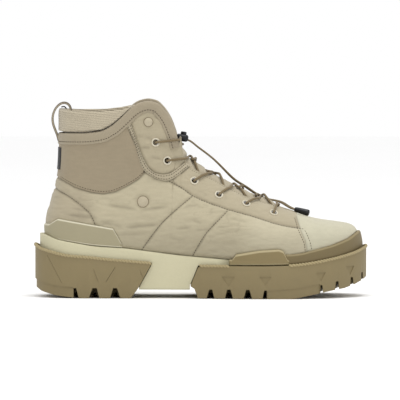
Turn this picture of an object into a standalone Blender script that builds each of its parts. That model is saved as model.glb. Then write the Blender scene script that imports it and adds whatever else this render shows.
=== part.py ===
"""A quilted hiking boot for the right foot, in metres: toe to +X, lateral side to -Y, up +Z, floor at Z = 0."""

import math
from collections import namedtuple

import bmesh
import bpy
import numpy as np

# Driving sizes of the boot
SOLE_LENGTH = 0.308
BOOT_HEIGHT = 0.183
SOLE_BALL_WIDTH = 0.116
SOLE_HEEL_WIDTH = 0.084
SOLE_WAIST_WIDTH = 0.085
UPPER_BALL_WIDTH = 0.104
MIDSOLE_LIP = 0.0030
MIDSOLE_DRAFT = 0.0012
MIDSOLE_TUCK = 0.0010
WALL = 0.0025
FIT = 0.0003
OVERLAY_FIT = 0.0004

# Plan outline of the sole: where the round ends begin, and how square they are
HEEL_ROUND_FROM = -0.357 * SOLE_LENGTH
TOE_ROUND_FROM = 0.227 * SOLE_LENGTH
ROUNDNESS = 2.3
UPPER_BACK_SET_IN = 0.0113
UPPER_TOE_SET_IN = 0.0070
MIDSOLE_BACK_SET_IN = 0.0045
UPPER_SIDE_SET_IN = 0.5 * (SOLE_BALL_WIDTH - UPPER_BALL_WIDTH)

# Lugs and side recesses of the outsoles
LUG_GROOVE_DEPTH = 0.022
TREAD_WIDTH = 0.0036
TREAD_DEPTH = 0.0040
SIDE_STEP = 0.0010
RECESS_DEPTH = 0.0012
EDGE_CHAMFER = 0.0012
OUTSOLE_TOP_LIP = 0.0006

# Overlays on the upper
COUNTER_THICKNESS = 0.0020
RAND_THICKNESS = 0.0030
WING_THICKNESS = 0.0038
LABEL_THICKNESS = 0.0008
LABEL_WIDTH = 0.026

# Collar
BINDING_WIDTH = 0.0095
BINDING_THICKNESS = 0.0011
CUFF_THICKNESS = 0.0032
CUFF_TUCK = 0.012
CUFF_SWELL = 0.0010

# Tongue and insole
TONGUE_THICKNESS = 0.0042
TONGUE_FLANK = 0.11
TONGUE_CLEARANCE = 0.0010
TONGUE_NARROWING = 0.12
FLAP_OPENS = 84.0
INSOLE_THICKNESS = 0.0040
INSOLE_SET_IN = 0.0042

# Eyelets, snap caps and lace
EYELET_RADIUS = 0.0041
EYELET_HOLE_RADIUS = 0.0021
EYELET_HEIGHT = 0.0010
WALL_HOLE_RADIUS = 0.0027
SNAP_HEIGHT = 0.0018
LACE_RADIUS = 0.0011
TAIL_RADIUS = 0.00085
LACE_CLEARANCE = 0.0005
LACE_LIFT = 0.0006

# Pull loop
LOOP_WIDTH = 0.012
LOOP_THICKNESS = 0.0013

# Cord lock, free tail and its end cap, in metres
LOCK_CENTRE = (-0.0172, 0.0, 0.1472)
LOCK_WAY = (0.97, 0.0, -0.15)
LOCK_LENGTH = 0.0112
LOCK_WIDTH = 0.0100
LOCK_HEIGHT = 0.0066
TAIL_APART = 0.0023
TAIL_POINT_STEP = 0.0048
TAIL_ROUTE = [
    (-0.0108, 0.000, 0.1446),
    (-0.0045, 0.000, 0.1400),
    (0.0011, 0.001, 0.1357),
    (0.0122, 0.002, 0.1269),
    (0.0234, 0.004, 0.1157),
    (0.0330, 0.008, 0.1068),
    (0.0400, 0.0125, 0.1022),
    (0.0470, 0.019, 0.0972),
    (0.0540, 0.023, 0.0927),
    (0.0620, 0.025, 0.0892),
    (0.0695, 0.0225, 0.0878),
    (0.0765, 0.0155, 0.0857),
    (0.0815, 0.0098, 0.0828),
    (0.0858, 0.0072, 0.0808),
]
END_CAP_FROM = (0.0872, 0.006, 0.0804)
END_CAP_TO = (0.1008, 0.003, 0.0768)

ALONG = SOLE_LENGTH / 100
UP = BOOT_HEIGHT / 100
ACROSS = UPPER_BALL_WIDTH / 200

# Plan: half width as a share of the sizes above, and the shift of the middle to the medial side,
# by place along the sole in hundredths of its length
Plan = namedtuple("Plan", "along half_width shift")
HEEL_HALF = SOLE_HEEL_WIDTH / 2
WAIST_HALF = SOLE_WAIST_WIDTH / 2
BALL_HALF = SOLE_BALL_WIDTH / 2
PLAN = [
    Plan(-50, 0.98 * HEEL_HALF, 0.0),
    Plan(-34, 1.00 * HEEL_HALF, 0.0),
    Plan(-26, 1.00 * HEEL_HALF, 0.0),
    Plan(-15, 0.99 * WAIST_HALF, -0.030 * BALL_HALF),
    Plan(-6, 1.00 * WAIST_HALF, -0.055 * BALL_HALF),
    Plan(3.5, 0.80 * BALL_HALF, -0.065 * BALL_HALF),
    Plan(13, 0.91 * BALL_HALF, -0.050 * BALL_HALF),
    Plan(21, 0.98 * BALL_HALF, -0.020 * BALL_HALF),
    Plan(28, 1.00 * BALL_HALF, 0.005 * BALL_HALF),
    Plan(35, 1.00 * BALL_HALF, 0.045 * BALL_HALF),
    Plan(42, 0.98 * BALL_HALF, 0.090 * BALL_HALF),
    Plan(50, 0.96 * BALL_HALF, 0.140 * BALL_HALF),
]

# Side outlines: place along the sole and height, in hundredths of sole length and boot height
Side = namedtuple("Side", "along up")
MIDSOLE_EDGE = [
    Side(-50.0, 32.3),
    Side(-46.9, 31.7),
    Side(-43.4, 29.6),
    Side(-38.5, 28.0),
    Side(-31.9, 26.3),
    Side(-23.4, 25.2),
    Side(-15.6, 23.6),
    Side(-7.4, 21.9),
    Side(-0.3, 20.8),
    Side(8.0, 19.8),
    Side(19.5, 19.1),
    Side(29.2, 20.1),
    Side(35.7, 21.8),
    Side(42.2, 24.4),
    Side(50.0, 28.3),
]
HEEL_TOP = [
    Side(-50.0, 26.4),
    Side(-48.1, 24.7),
    Side(-45.0, 23.3),
    Side(-40.1, 21.5),
    Side(-33.6, 20.6),
    Side(-28.7, 19.7),
    Side(-14.9, 17.8),
]
HEEL_BOTTOM = [
    Side(-50.0, 5.4),
    Side(-48.1, 3.3),
    Side(-45.5, 2.0),
    Side(-42.7, 1.1),
    Side(-38.4, 0.3),
    Side(-35.7, 0.0),
    Side(-21.1, 0.0),
    Side(-18.8, 5.1),
    Side(-14.9, 17.2),
]
FORE_TOP = [
    Side(-3.1, 6.6),
    Side(-0.65, 16.5),
    Side(16.2, 16.5),
    Side(26.0, 16.8),
    Side(29.9, 17.3),
    Side(35.0, 18.5),
    Side(42.5, 21.0),
    Side(46.9, 23.1),
    Side(50.0, 25.4),
]
FORE_BOTTOM = [
    Side(-3.1, 6.1),
    Side(-1.8, 4.7),
    Side(-0.85, 0.0),
    Side(27.3, 0.0),
    Side(29.9, 0.65),
    Side(35.8, 2.7),
    Side(40.0, 4.1),
    Side(43.1, 4.9),
    Side(46.1, 6.5),
    Side(48.4, 8.3),
    Side(50.0, 10.0),
]
MIDSOLE_BOTTOM_UP = 4.3
TOP_LINE = [
    Side(-42.7, 83.5),
    Side(-36.0, 83.6),
    Side(-30.2, 84.7),
    Side(-26.9, 87.4),
    Side(-24.3, 91.1),
    Side(-21.1, 96.3),
    Side(-18.3, 99.2),
    Side(-15.9, 100.0),
    Side(-13.4, 99.2),
    Side(-11.4, 96.3),
    Side(-9.3, 91.1),
    Side(-7.9, 85.2),
    Side(-7.3, 81.7),
    Side(-6.7, 77.5),
    Side(-5.9, 73.0),
]
CUFF_TOP = [
    Side(-43.5, 95.4),
    Side(-36.0, 94.4),
    Side(-30.5, 94.4),
    Side(-25.0, 95.2),
    Side(-20.0, 96.6),
    Side(-14.0, 96.6),
]
CUFF_ENDS = -13.0
RIDGE = [
    Side(-10.4, 87.0),
    Side(-9.2, 81.6),
    Side(-7.6, 77.8),
    Side(-5.9, 75.8),
    Side(-4.3, 72.4),
    Side(-1.3, 67.6),
    Side(1.0, 64.9),
    Side(5.4, 60.4),
    Side(10.3, 56.2),
    Side(14.7, 52.5),
    Side(19.6, 49.6),
    Side(22.5, 47.0),
    Side(24.6, 43.0),
    Side(27.0, 39.4),
    Side(29.6, 38.0),
]

# Lug grooves: foot and head of each gap along the sole, and the height of its head
Groove = namedtuple("Groove", "foot_from foot_to head_from head_to up")
HEEL_GROOVES = [
    Groove(-38.3, -36.7, -38.3, -37.5, 5.1),
    Groove(-33.7, -30.5, -32.6, -31.3, 5.1),
    Groove(-27.3, -24.2, -26.4, -25.2, 5.1),
]
FORE_GROOVES = [
    Groove(1.7, 4.1, 2.5, 3.4, 4.6),
    Groove(7.2, 9.7, 7.9, 8.9, 4.6),
    Groove(12.8, 15.4, 13.6, 14.6, 4.6),
    Groove(18.5, 19.8, 19.0, 19.8, 4.3),
    Groove(35.8, 36.9, 35.9, 36.5, 6.9),
    Groove(40.1, 41.8, 40.6, 41.4, 8.5),
    Groove(44.8, 46.3, 45.1, 45.8, 10.3),
    Groove(48.1, 49.1, 48.4, 48.8, 12.4),
]
# Shallow arrow grooves of the tread, between the side gaps: their ends and their point
Tread = namedtuple("Tread", "along point")
HEEL_TREAD = [Tread(-37.5, -35.0), Tread(-32.1, -29.6), Tread(-25.8, -23.3)]
FORE_TREAD = [
    Tread(2.9, 5.4),
    Tread(8.4, 10.9),
    Tread(14.1, 16.6),
    Tread(19.2, 21.7),
    Tread(24.6, 27.1),
    Tread(30.2, 32.7),
    Tread(36.3, 38.5),
    Tread(41.0, 42.7),
]
# Recessed bands at the foot of the side: height of the step above them
HEEL_STEP = [Side(-50.0, 9.2), Side(-46.2, 7.0), Side(-42.7, 6.0), Side(-38.3, 5.5)]
FORE_STEP = [Side(19.8, 4.0), Side(27.5, 5.1), Side(30.0, 5.5), Side(35.8, 7.4)]
# Wedge recesses in the forefoot side: middle, half width, top and point
Wedge = namedtuple("Wedge", "along half up point")
WEDGES = [
    Wedge(8.25, 2.0, 11.2, 6.2),
    Wedge(19.4, 1.8, 11.2, 6.8),
    Wedge(36.1, 1.4, 13.2, 8.7),
    Wedge(44.9, 1.3, 16.0, 11.2),
]

# Outlines of the overlays, as seen from the side
COUNTER = [
    Side(-60.0, 36.9),
    Side(-45.1, 37.1),
    Side(-42.7, 39.9),
    Side(-26.4, 35.2),
    Side(-23.2, 25.5),
]
RAND = [
    Side(25.6, 21.9),
    Side(29.9, 23.0),
    Side(34.5, 24.8),
    Side(39.2, 26.8),
    Side(43.8, 29.7),
    Side(46.9, 32.8),
    Side(60.0, 34.0),
]
RAND_FOOT_FROM = 27.15
WING = [Side(8.4, 17.2), Side(10.6, 22.6), Side(17.7, 24.5), Side(23.3, 25.1), Side(24.7, 24.3)]
WING_FOOT_TO = 26.85

# The last: each rib runs from the feather edge (where the upper meets the sole) to the top line.
# Along and up are hundredths of sole length and boot height, out hundredths of the half ball width
Rib = namedtuple(
    "Rib",
    "feather low_along low_out low_up mid_along mid_out mid_up "
    "high_along high_out high_up top_along top_out top_up",
)
RIBS = [
    Rib(0.000, -46.4, 0.0, 38.2, -44.3, 0.0, 53.5, -42.8, 0.0, 68.3, -42.7, 0.0, 101.6),
    Rib(0.034, -43.3, 54.0, 38.2, -41.2, 51.0, 53.5, -39.8, 50.0, 69.4, -39.3, 51.0, 101.6),
    Rib(0.127, -34.7, 70.2, 37.2, -33.4, 66.3, 53.0, -31.5, 67.3, 71.0, -30.2, 69.2, 101.6),
    Rib(0.240, -24.3, 71.2, 36.1, -23.0, 69.2, 53.0, -20.8, 72.1, 72.7, -18.2, 73.1, 101.6),
    Rib(0.342, -14.6, 71.2, 33.9, -13.6, 70.2, 50.8, -11.7, 67.3, 71.0, -7.2, 60.0, 101.6),
    Rib(0.435, -6.2, 76.0, 31.7, -6.5, 74.0, 45.9, -6.5, 65.0, 60.7, -5.5, 50.0, 73.5),
    Rib(0.538, 3.2, 84.6, 30.1, 2.0, 79.8, 42.1, 1.0, 65.0, 54.1, 0.6, 43.0, 62.8),
    Rib(0.651, 14.6, 96.2, 28.4, 14.0, 88.5, 37.2, 13.3, 66.0, 46.4, 12.3, 38.0, 51.9),
    Rib(0.753, 24.7, 102.0, 27.9, 24.0, 91.3, 35.5, 23.0, 62.0, 42.6, 21.4, 29.0, 46.7),
    Rib(0.873, 35.7, 91.3, 30.1, 34.4, 78.8, 36.3, 31.2, 48.0, 40.2, 24.7, 16.3, 44.2),
    Rib(0.959, 43.5, 62.5, 32.0, 40.6, 52.0, 36.6, 34.4, 27.0, 38.8, 25.7, 7.0, 43.7),
    Rib(1.000, 46.85, 0.0, 33.2, 43.8, 0.0, 36.6, 36.4, 0.0, 38.3, 26.0, 0.0, 43.2),
]
COLUMNS_BETWEEN = [3, 3, 3, 6, 4, 3, 3, 3, 3, 3, 2]
UPPER_LEVELS = 7

# Eyelets and snap caps on the lateral side
EYELETS = [
    Side(-13.6, 78.8),
    Side(-10.1, 69.5),
    Side(-2.0, 59.2),
    Side(5.4, 52.2),
    Side(13.6, 47.7),
    Side(21.9, 43.0),
]
MEDIAL_EYELETS = [
    Side(-12.4, 77.6),
    Side(-8.8, 67.6),
    Side(0.2, 57.0),
    Side(7.7, 50.8),
    Side(15.8, 46.3),
    Side(23.2, 41.9),
]
# Where each lateral strand crosses the throat's edge and the tongue's middle line,
# and how far behind it the medial one does
Crossing = namedtuple("Crossing", "edge ridge back")
CROSSINGS = [
    Crossing(-7.2, -6.0, 0.3),
    Crossing(-4.3, -2.1, 1.2),
    Crossing(1.6, 5.2, 2.0),
    Crossing(9.8, 11.9, 2.0),
    Crossing(17.1, 18.6, 2.0),
    Crossing(22.6, 23.2, 0.0),
]
Snap = namedtuple("Snap", "name along up radius")
SNAPS = [Snap("high", -15.8, 89.1, 0.0041), Snap("low", -17.4, 48.8, 0.0051)]

LABEL_UP = (64.5, 75.8)
LOOP_ROUTE = [
    Side(-43.6, 79.6),
    Side(-43.9, 82.6),
    Side(-44.3, 85.0),
    Side(-44.7, 88.6),
    Side(-44.5, 92.8),
    Side(-43.3, 96.4),
    Side(-41.9, 98.0),
    Side(-40.6, 98.0),
    Side(-39.6, 96.6),
    Side(-39.2, 93.6),
    Side(-39.4, 89.0),
    Side(-39.3, 84.0),
    Side(-39.3, 80.0),
]
TAB_ROUTE = [Side(-42.1, 96.0), Side(-41.2, 96.2), Side(-40.6, 95.2)]
TAB_WIDTH = 0.008
TAB_THICKNESS = 0.0012

# Colours
SAND = (0.62, 0.56, 0.42)
TAUPE = (0.45, 0.39, 0.29)
KHAKI_RUBBER = (0.30, 0.25, 0.16)
CREAM = (0.72, 0.68, 0.50)
GREY_GREEN = (0.46, 0.44, 0.33)
OLIVE_TAN = (0.27, 0.22, 0.13)
BLACK = (0.012, 0.013, 0.016)
RING = (0.66, 0.64, 0.56)


def clear_scene():
    for obj in list(bpy.data.objects):
        bpy.data.objects.remove(obj, do_unlink=True)


def material(name, colour, roughness):
    made = bpy.data.materials.new(name)
    made.use_nodes = True
    shader = made.node_tree.nodes["Principled BSDF"]
    shader.inputs["Base Color"].default_value = (*colour, 1)
    shader.inputs["Roughness"].default_value = roughness
    return made


def solid(name, points, faces, colour, roughness=0.7):
    """An object from points and faces, with its faces turned outwards."""
    mesh = bpy.data.meshes.new(name)
    mesh.from_pydata([tuple(map(float, p)) for p in points], [], faces)
    work = bmesh.new()
    work.from_mesh(mesh)
    bmesh.ops.remove_doubles(work, verts=work.verts, dist=1e-7)
    bmesh.ops.recalc_face_normals(work, faces=work.faces)
    work.to_mesh(mesh)
    work.free()
    mesh.materials.append(material(name, colour, roughness))
    mesh.shade_smooth()
    mesh.set_sharp_from_angle(angle=math.radians(35))
    obj = bpy.data.objects.new(name, mesh)
    bpy.context.scene.collection.objects.link(obj)
    return obj


def helper(obj):
    obj.hide_render = True
    obj.display_type = "WIRE"
    return obj


def combine(obj, other, operation):
    helper(other)
    boolean = obj.modifiers.new(operation.title() + " " + other.name, "BOOLEAN")
    boolean.operation = operation
    boolean.solver = "EXACT"
    boolean.object = other


def monotone(table, x, scale_x, scale_y):
    """A smooth curve through a side table that adds no bump of its own."""
    xs = np.array([row[0] for row in table], float) * scale_x
    ys = np.array([row[1] for row in table], float) * scale_y
    x = np.clip(np.asarray(x, float), xs[0], xs[-1])
    step = np.diff(xs)
    slope = np.diff(ys) / step
    tangent = np.concatenate([slope[:1], slope[:-1] * 0, slope[-1:]])
    turning = slope[:-1] * slope[1:] > 0
    mean = 2 * slope[:-1] * slope[1:] / np.where(turning, slope[:-1] + slope[1:], 1)
    tangent[1:-1] = np.where(turning, mean, 0)
    i = np.clip(np.searchsorted(xs, x, side="right") - 1, 0, len(step) - 1)
    t = (x - xs[i]) / step[i]
    rise = (3 - 2 * t) * t * t
    bend = t * (1 - t) * step[i]
    return ys[i] + (ys[i + 1] - ys[i]) * rise + bend * ((1 - t) * tangent[i] - t * tangent[i + 1])


def side_height(table, x):
    return monotone(table, x, ALONG, UP)


def straight_height(table, x):
    return np.interp(x, [row.along * ALONG for row in table], [row.up * UP for row in table])


def plan_half(x, back, front, set_in):
    """Half width of an outline that ends at back and front, set in from the sole's own."""
    half = monotone([(p.along, p.half_width) for p in PLAN], x, ALONG, 1) - set_in
    heel = np.clip((HEEL_ROUND_FROM - x) / (HEEL_ROUND_FROM - back), 0, 1)
    toe = np.clip((x - TOE_ROUND_FROM) / (front - TOE_ROUND_FROM), 0, 1)
    return half * (1 - np.maximum(heel, toe) ** ROUNDNESS) ** (1 / ROUNDNESS)


def fore_top_height(x):
    """Top of the forefoot unit: a straight slope at its back, then a smooth line to the toe."""
    return np.where(
        np.asarray(x) < FORE_TOP[1].along * ALONG,
        straight_height(FORE_TOP, x),
        side_height(FORE_TOP[1:], x),
    )


def heel_top_height(x):
    return side_height(HEEL_TOP, x)


def raw_shift(x):
    return monotone([(p.along, p.shift) for p in PLAN], x, ALONG, 1)


SOLE_BACK = -SOLE_LENGTH / 2
SOLE_FRONT = SOLE_LENGTH / 2
OUTLINE_SAMPLES = np.linspace(SOLE_BACK, SOLE_FRONT, 400)
OUTLINE_HALF = plan_half(OUTLINE_SAMPLES, SOLE_BACK, SOLE_FRONT, 0)
CENTRING = 0.5 * (
    np.max(raw_shift(OUTLINE_SAMPLES) + OUTLINE_HALF)
    + np.min(raw_shift(OUTLINE_SAMPLES) - OUTLINE_HALF)
)
UPPER_BACK = SOLE_BACK + UPPER_BACK_SET_IN
UPPER_FRONT = SOLE_FRONT - UPPER_TOE_SET_IN
MIDSOLE_BACK = SOLE_BACK + MIDSOLE_BACK_SET_IN


def shift(x):
    """How far the middle of the sole lies to the medial side."""
    return raw_shift(x) - CENTRING


def feather_half(x):
    return plan_half(x, UPPER_BACK, UPPER_FRONT, UPPER_SIDE_SET_IN)


def spline_weights(knots, t, periodic):
    """Rows of weights that turn values at the knots into values of a smooth cubic curve at t."""
    count = len(knots) - 1 if periodic else len(knots)
    gap = np.diff(knots)
    system = np.zeros((count, count))
    right = np.zeros((count, count))
    for i in range(count):
        if not periodic and i in (0, count - 1):
            system[i, i] = 1
            continue
        before, after = gap[i - 1], gap[i]
        left, ahead = (i - 1) % count, (i + 1) % count
        system[i, left] += before
        system[i, i] += 2 * (before + after)
        system[i, ahead] += after
        right[i, left] += 6 / before
        right[i, i] -= 6 / before + 6 / after
        right[i, ahead] += 6 / after
    bend = np.linalg.solve(system, right)
    i = np.clip(np.searchsorted(knots, t, side="right") - 1, 0, len(gap) - 1)
    h = gap[i]
    b = (t - knots[i]) / h
    a = 1 - b
    j = (i + 1) % count
    unit = np.eye(count)
    weights = a[:, None] * unit[i] + b[:, None] * unit[j]
    weights += ((a**3 - a) * h * h / 6)[:, None] * bend[i]
    weights += ((b**3 - b) * h * h / 6)[:, None] * bend[j]
    return weights


def rib_points(rib, side):
    """The five points of a rib, on the lateral (-1) or the medial (+1) side."""
    x = UPPER_BACK + rib.feather * (UPPER_FRONT - UPPER_BACK)
    feather_up = side_height(MIDSOLE_EDGE, x) + FIT
    rows = [
        (x, feather_half(x), feather_up),
        (rib.low_along * ALONG, rib.low_out * ACROSS, rib.low_up * UP),
        (rib.mid_along * ALONG, rib.mid_out * ACROSS, rib.mid_up * UP),
        (rib.high_along * ALONG, rib.high_out * ACROSS, rib.high_up * UP),
        (rib.top_along * ALONG, rib.top_out * ACROSS, rib.top_up * UP),
    ]
    fade = np.clip(1 - (np.array([r[2] for r in rows]) / UP - 40) / 45, 0, 1)
    return [(x, side * y + f * shift(x), z) for (x, y, z), f in zip(rows, fade)]


def last_net():
    """Points of all ribs, round from the heel by the lateral side and the toe, with their knots."""
    lateral = [rib_points(rib, -1) for rib in RIBS]
    medial = [rib_points(rib, 1) for rib in RIBS[-2:0:-1]]
    net = np.array(lateral + medial)
    closed = np.concatenate([net, net[:1]])
    around = np.linalg.norm(np.diff(closed, axis=0), axis=2).mean(axis=1)
    upward = np.linalg.norm(np.diff(net, axis=1), axis=2).mean(axis=0)
    around = np.concatenate([[0], np.cumsum(around)]) / around.sum()
    upward = np.concatenate([[0], np.cumsum(upward)]) / upward.sum()
    return net, around, upward


NET, AROUND, UPWARD = last_net()
SKIRT = 0.110


def last_point(u, v):
    """The outer face of the upper, u round from the heel, v up from the feather edge. Below it goes plumb."""
    u, v = np.broadcast_arrays(np.asarray(u, float) % 1, np.asarray(v, float))
    shape = u.shape
    u, v = u.ravel(), v.ravel()
    across = spline_weights(AROUND, u, True)
    up = spline_weights(UPWARD, np.maximum(v, 0), False)
    points = np.einsum("ni,nj,ijk->nk", across, up, NET)
    points[:, 2] += np.minimum(v, 0) * SKIRT
    return points.reshape(*shape, 3)


def last_normal(u, v, step=1e-4):
    u, v = np.broadcast_arrays(np.asarray(u, float), np.asarray(v, float))
    along = last_point(u + step, v) - last_point(u - step, v)
    upward = last_point(u, v + step) - last_point(u, np.minimum(v, 1) - step)
    normal = np.cross(along, upward)
    return normal / np.linalg.norm(normal, axis=-1, keepdims=True)


def off_last(u, v, height):
    return last_point(u, v) + np.asarray(height)[..., None] * last_normal(u, v)


def column_knots():
    """Places round the last where the columns of the meshes stand, closer at the flaps."""
    counts = COLUMNS_BETWEEN + COLUMNS_BETWEEN[::-1]
    spans = [
        np.linspace(AROUND[i], AROUND[i + 1], count, endpoint=False)
        for i, count in enumerate(counts)
    ]
    return np.concatenate(spans)


def trim(u, height_at):
    """How far up each column meets the line height_at(x), or 1 where it doesn't."""
    low = np.full(len(u), 0.3)
    high = np.ones(len(u))
    top = last_point(u, high)
    meets = (top[:, 2] > height_at(top[:, 0])) & (top[:, 0] < TOP_LINE[-1].along * ALONG)
    for _ in range(40):
        middle = (low + high) / 2
        points = last_point(u, middle)
        above = points[:, 2] > height_at(points[:, 0])
        high = np.where(above, middle, high)
        low = np.where(above, low, middle)
    return np.where(meets, high, 1.0)


def top_line_height(x):
    return side_height(TOP_LINE, x)


COLUMNS = column_knots()
UPPER_TRIM = trim(COLUMNS, lambda x: top_line_height(x) - BINDING_THICKNESS - 2 * FIT)
LATERAL_SEARCH = np.linspace(0, 0.5, 121)
SEARCH_LEVELS = np.linspace(0.02, 1.0, 60)


def locate(x, z):
    """(u, v) on the lateral side of the point that a side view shows at x, z."""
    grid_u, grid_v = np.meshgrid(LATERAL_SEARCH, SEARCH_LEVELS, indexing="ij")
    grid = last_point(grid_u, grid_v)
    miss = (grid[..., 0] - x) ** 2 + (grid[..., 2] - z) ** 2
    nearest = np.unravel_index(np.argmin(miss), miss.shape)
    place = np.array([grid_u[nearest], grid_v[nearest]])
    for _ in range(12):
        here = last_point(*place)[[0, 2]]
        by_u = (last_point(place[0] + 1e-4, place[1])[[0, 2]] - here) / 1e-4
        by_v = (last_point(place[0], place[1] - 1e-4)[[0, 2]] - here) / -1e-4
        move = np.linalg.solve(np.array([by_u, by_v]).T, np.array([x, z]) - here)
        place = place + np.clip(move, -0.05, 0.05)
    return place


def wrap(outer, inner, closed):
    """Faces of a wall between two grids of points [column, level]."""
    columns, levels = outer.shape[:2]
    points = np.concatenate([outer.reshape(-1, 3), inner.reshape(-1, 3)])

    def index(layer, column, level):
        return (layer * columns + column % columns) * levels + level

    faces = []
    for c in range(columns if closed else columns - 1):
        for k in range(levels - 1):
            for layer in (0, 1):
                quad = [
                    index(layer, c, k),
                    index(layer, c + 1, k),
                    index(layer, c + 1, k + 1),
                    index(layer, c, k + 1),
                ]
                faces.append(quad)
        for k in (0, levels - 1):
            faces.append([index(0, c, k), index(0, c + 1, k), index(1, c + 1, k), index(1, c, k)])
    if not closed:
        for c in (0, columns - 1):
            for k in range(levels - 1):
                faces.append([index(0, c, k), index(0, c, k + 1), index(1, c, k + 1), index(1, c, k)])
    return points, faces


def loft(sections, closed=False):
    """Faces through rings of points [section, point], with flat ends unless closed."""
    sections = np.asarray(sections)
    count, size = sections.shape[:2]
    points = sections.reshape(-1, 3)
    faces = []
    for s in range(count if closed else count - 1):
        for k in range(size):
            a = s * size + k
            b = s * size + (k + 1) % size
            shift_by = ((s + 1) % count - s) * size
            faces.append([a, b, b + shift_by, a + shift_by])
    if not closed:
        faces.append(list(range(size)))
        faces.append([(count - 1) * size + k for k in range(size)])
    return points, faces


def prism_mesh(outline, near, far):
    """Points and faces of an outline in X and Z, drawn out along Y."""
    count = len(outline)
    points = [(x, y, z) for y in (near, far) for x, z in outline]
    faces = [list(range(count)), list(range(2 * count - 1, count - 1, -1))]
    for k in range(count):
        ahead = (k + 1) % count
        faces.append([k, ahead, count + ahead, count + k])
    return points, faces


def joined(name, pieces):
    """One helper object from several closed pieces that lie apart."""
    points = []
    faces = []
    for piece_points, piece_faces in pieces:
        base = len(points)
        points.extend(piece_points)
        faces.extend([[base + i for i in face] for face in piece_faces])
    return helper(solid(name, points, faces, BLACK))


def scaled(outline):
    return [(row.along * ALONG, row.up * UP) for row in outline]


def stations(tables, back, front, round_back, round_front, step):
    """Places along the sole for a loft: the tables' own, an even step, and closer at round ends."""
    places = [row.along * ALONG for table in tables for row in table]
    places += list(np.arange(back, front, step))
    turn = np.radians(np.linspace(0, 90, 8))
    if round_back:
        places += list(back + (HEEL_ROUND_FROM - back) * (1 - np.cos(turn)))
    if round_front:
        places += list(front - (front - TOE_ROUND_FROM) * (1 - np.cos(turn)))
    places = np.array(sorted(p for p in places if back < p < front))
    kept = [back]
    for place in places:
        near_end = place - back < step or front - place < step
        if place - kept[-1] > (0.08 * step if near_end else 0.3 * step):
            kept.append(place)
    if front - kept[-1] < 0.05 * step:
        kept.pop()
    return np.array(kept + [front])


END_HALF = 0.004


def outsole_body(name, top, bottom, back, front, round_back, round_front, step):
    """An outsole as a loft of sections across the boot."""
    sections = []
    for x in stations([bottom], back, front, round_back, round_front, step):
        half = max(float(plan_half(x, SOLE_BACK, SOLE_FRONT, 0)), END_HALF)
        middle = float(shift(x))
        high = float(top(x))
        low = float(straight_height(bottom, x))
        edge = min(EDGE_CHAMFER, 0.3 * (high - low))
        ring = [
            (half - OUTSOLE_TOP_LIP, high),
            (half, high - edge),
            (half, low + edge),
            (half - edge, low),
        ]
        left = [(x, middle - y, z) for y, z in ring]
        right = [(x, middle + y, z) for y, z in reversed(ring)]
        sections.append(left + right)
    points, faces = loft(sections)
    return solid(name, points, faces, KHAKI_RUBBER, 0.75)


def outline_edge(x, side):
    """A point of the sole's outline and the direction straight out of it."""
    reach = 0.0005

    def edge(place):
        place = np.clip(place, SOLE_BACK, SOLE_FRONT)
        half = plan_half(place, SOLE_BACK, SOLE_FRONT, 0)
        return np.array([place, shift(place) + side * half])

    along = edge(x + reach) - edge(x - reach)
    out = side * np.array([-along[1], along[0]])
    return edge(x), out / np.linalg.norm(out)


def groove_cutters(grooves):
    """Wedge-shaped gaps between the lugs, cut in from both sides."""
    pieces = []
    below = 0.004
    for g in grooves:
        run_from = (g.head_from - g.foot_from) / (g.up * UP)
        run_to = (g.head_to - g.foot_to) / (g.up * UP)
        outline = [
            ((g.foot_from - run_from * below) * ALONG, -below),
            ((g.foot_to - run_to * below) * ALONG, -below),
            (g.head_to * ALONG, g.up * UP),
            (g.head_from * ALONG, g.up * UP),
        ]
        middle = (g.foot_from + g.foot_to) / 2 * ALONG
        half = float(plan_half(middle, SOLE_BACK, SOLE_FRONT, 0))
        depth = min(LUG_GROOVE_DEPTH, 0.7 * half)
        for side in (-1, 1):
            inner = float(shift(middle)) + side * (half - depth)
            outer = float(shift(middle)) + side * (half + 0.02)
            pieces.append(prism_mesh(outline, min(inner, outer), max(inner, outer)))
    return pieces


def tread_cutters(tread, bottom):
    """Arrow-shaped grooves under the middle of the sole."""
    pieces = []
    overrun = 0.001
    for row in tread:
        ends = row.along * ALONG
        point = row.point * ALONG
        half = float(plan_half(ends, SOLE_BACK, SOLE_FRONT, 0))
        reach = half - min(LUG_GROOVE_DEPTH, 0.7 * half) + overrun
        middle = float(shift(ends))
        high = float(straight_height(bottom, ends)) + TREAD_DEPTH
        corners = [
            (ends - TREAD_WIDTH / 2, middle - reach),
            (ends + TREAD_WIDTH / 2, middle - reach),
            (point + TREAD_WIDTH / 2, middle),
            (ends + TREAD_WIDTH / 2, middle + reach),
            (ends - TREAD_WIDTH / 2, middle + reach),
            (point - TREAD_WIDTH / 2, middle),
        ]
        pieces.append(loft([[(x, y, z) for x, y in corners] for z in (-0.004, high)]))
    return pieces


def band_cutter(table, side, places):
    """A strip along the foot of the side, one step deep and as high as the table says."""
    sections = []
    for x in places:
        edge, out = outline_edge(x, side)
        inner = edge - out * SIDE_STEP
        outer = edge + out * 0.006
        high = float(straight_height(table, x))
        sections.append(
            [(*inner, -0.004), (*outer, -0.004), (*outer, high), (*inner, high)]
        )
    return sections


def wedge_cutters():
    """Shallow wedges in both sides of the forefoot, square to the outline."""
    pieces = []
    for wedge in WEDGES:
        for side in (-1, 1):
            corners = [
                (wedge.along - wedge.half, wedge.up),
                (wedge.along + wedge.half, wedge.up),
                (wedge.along, wedge.point),
            ]
            inner = []
            outer = []
            for along, up in corners:
                edge, out = outline_edge(along * ALONG, side)
                inner.append((*(edge - out * RECESS_DEPTH), up * UP))
                outer.append((*(edge + out * 0.004), up * UP))
            pieces.append(loft([inner, outer]))
    return pieces


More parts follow.
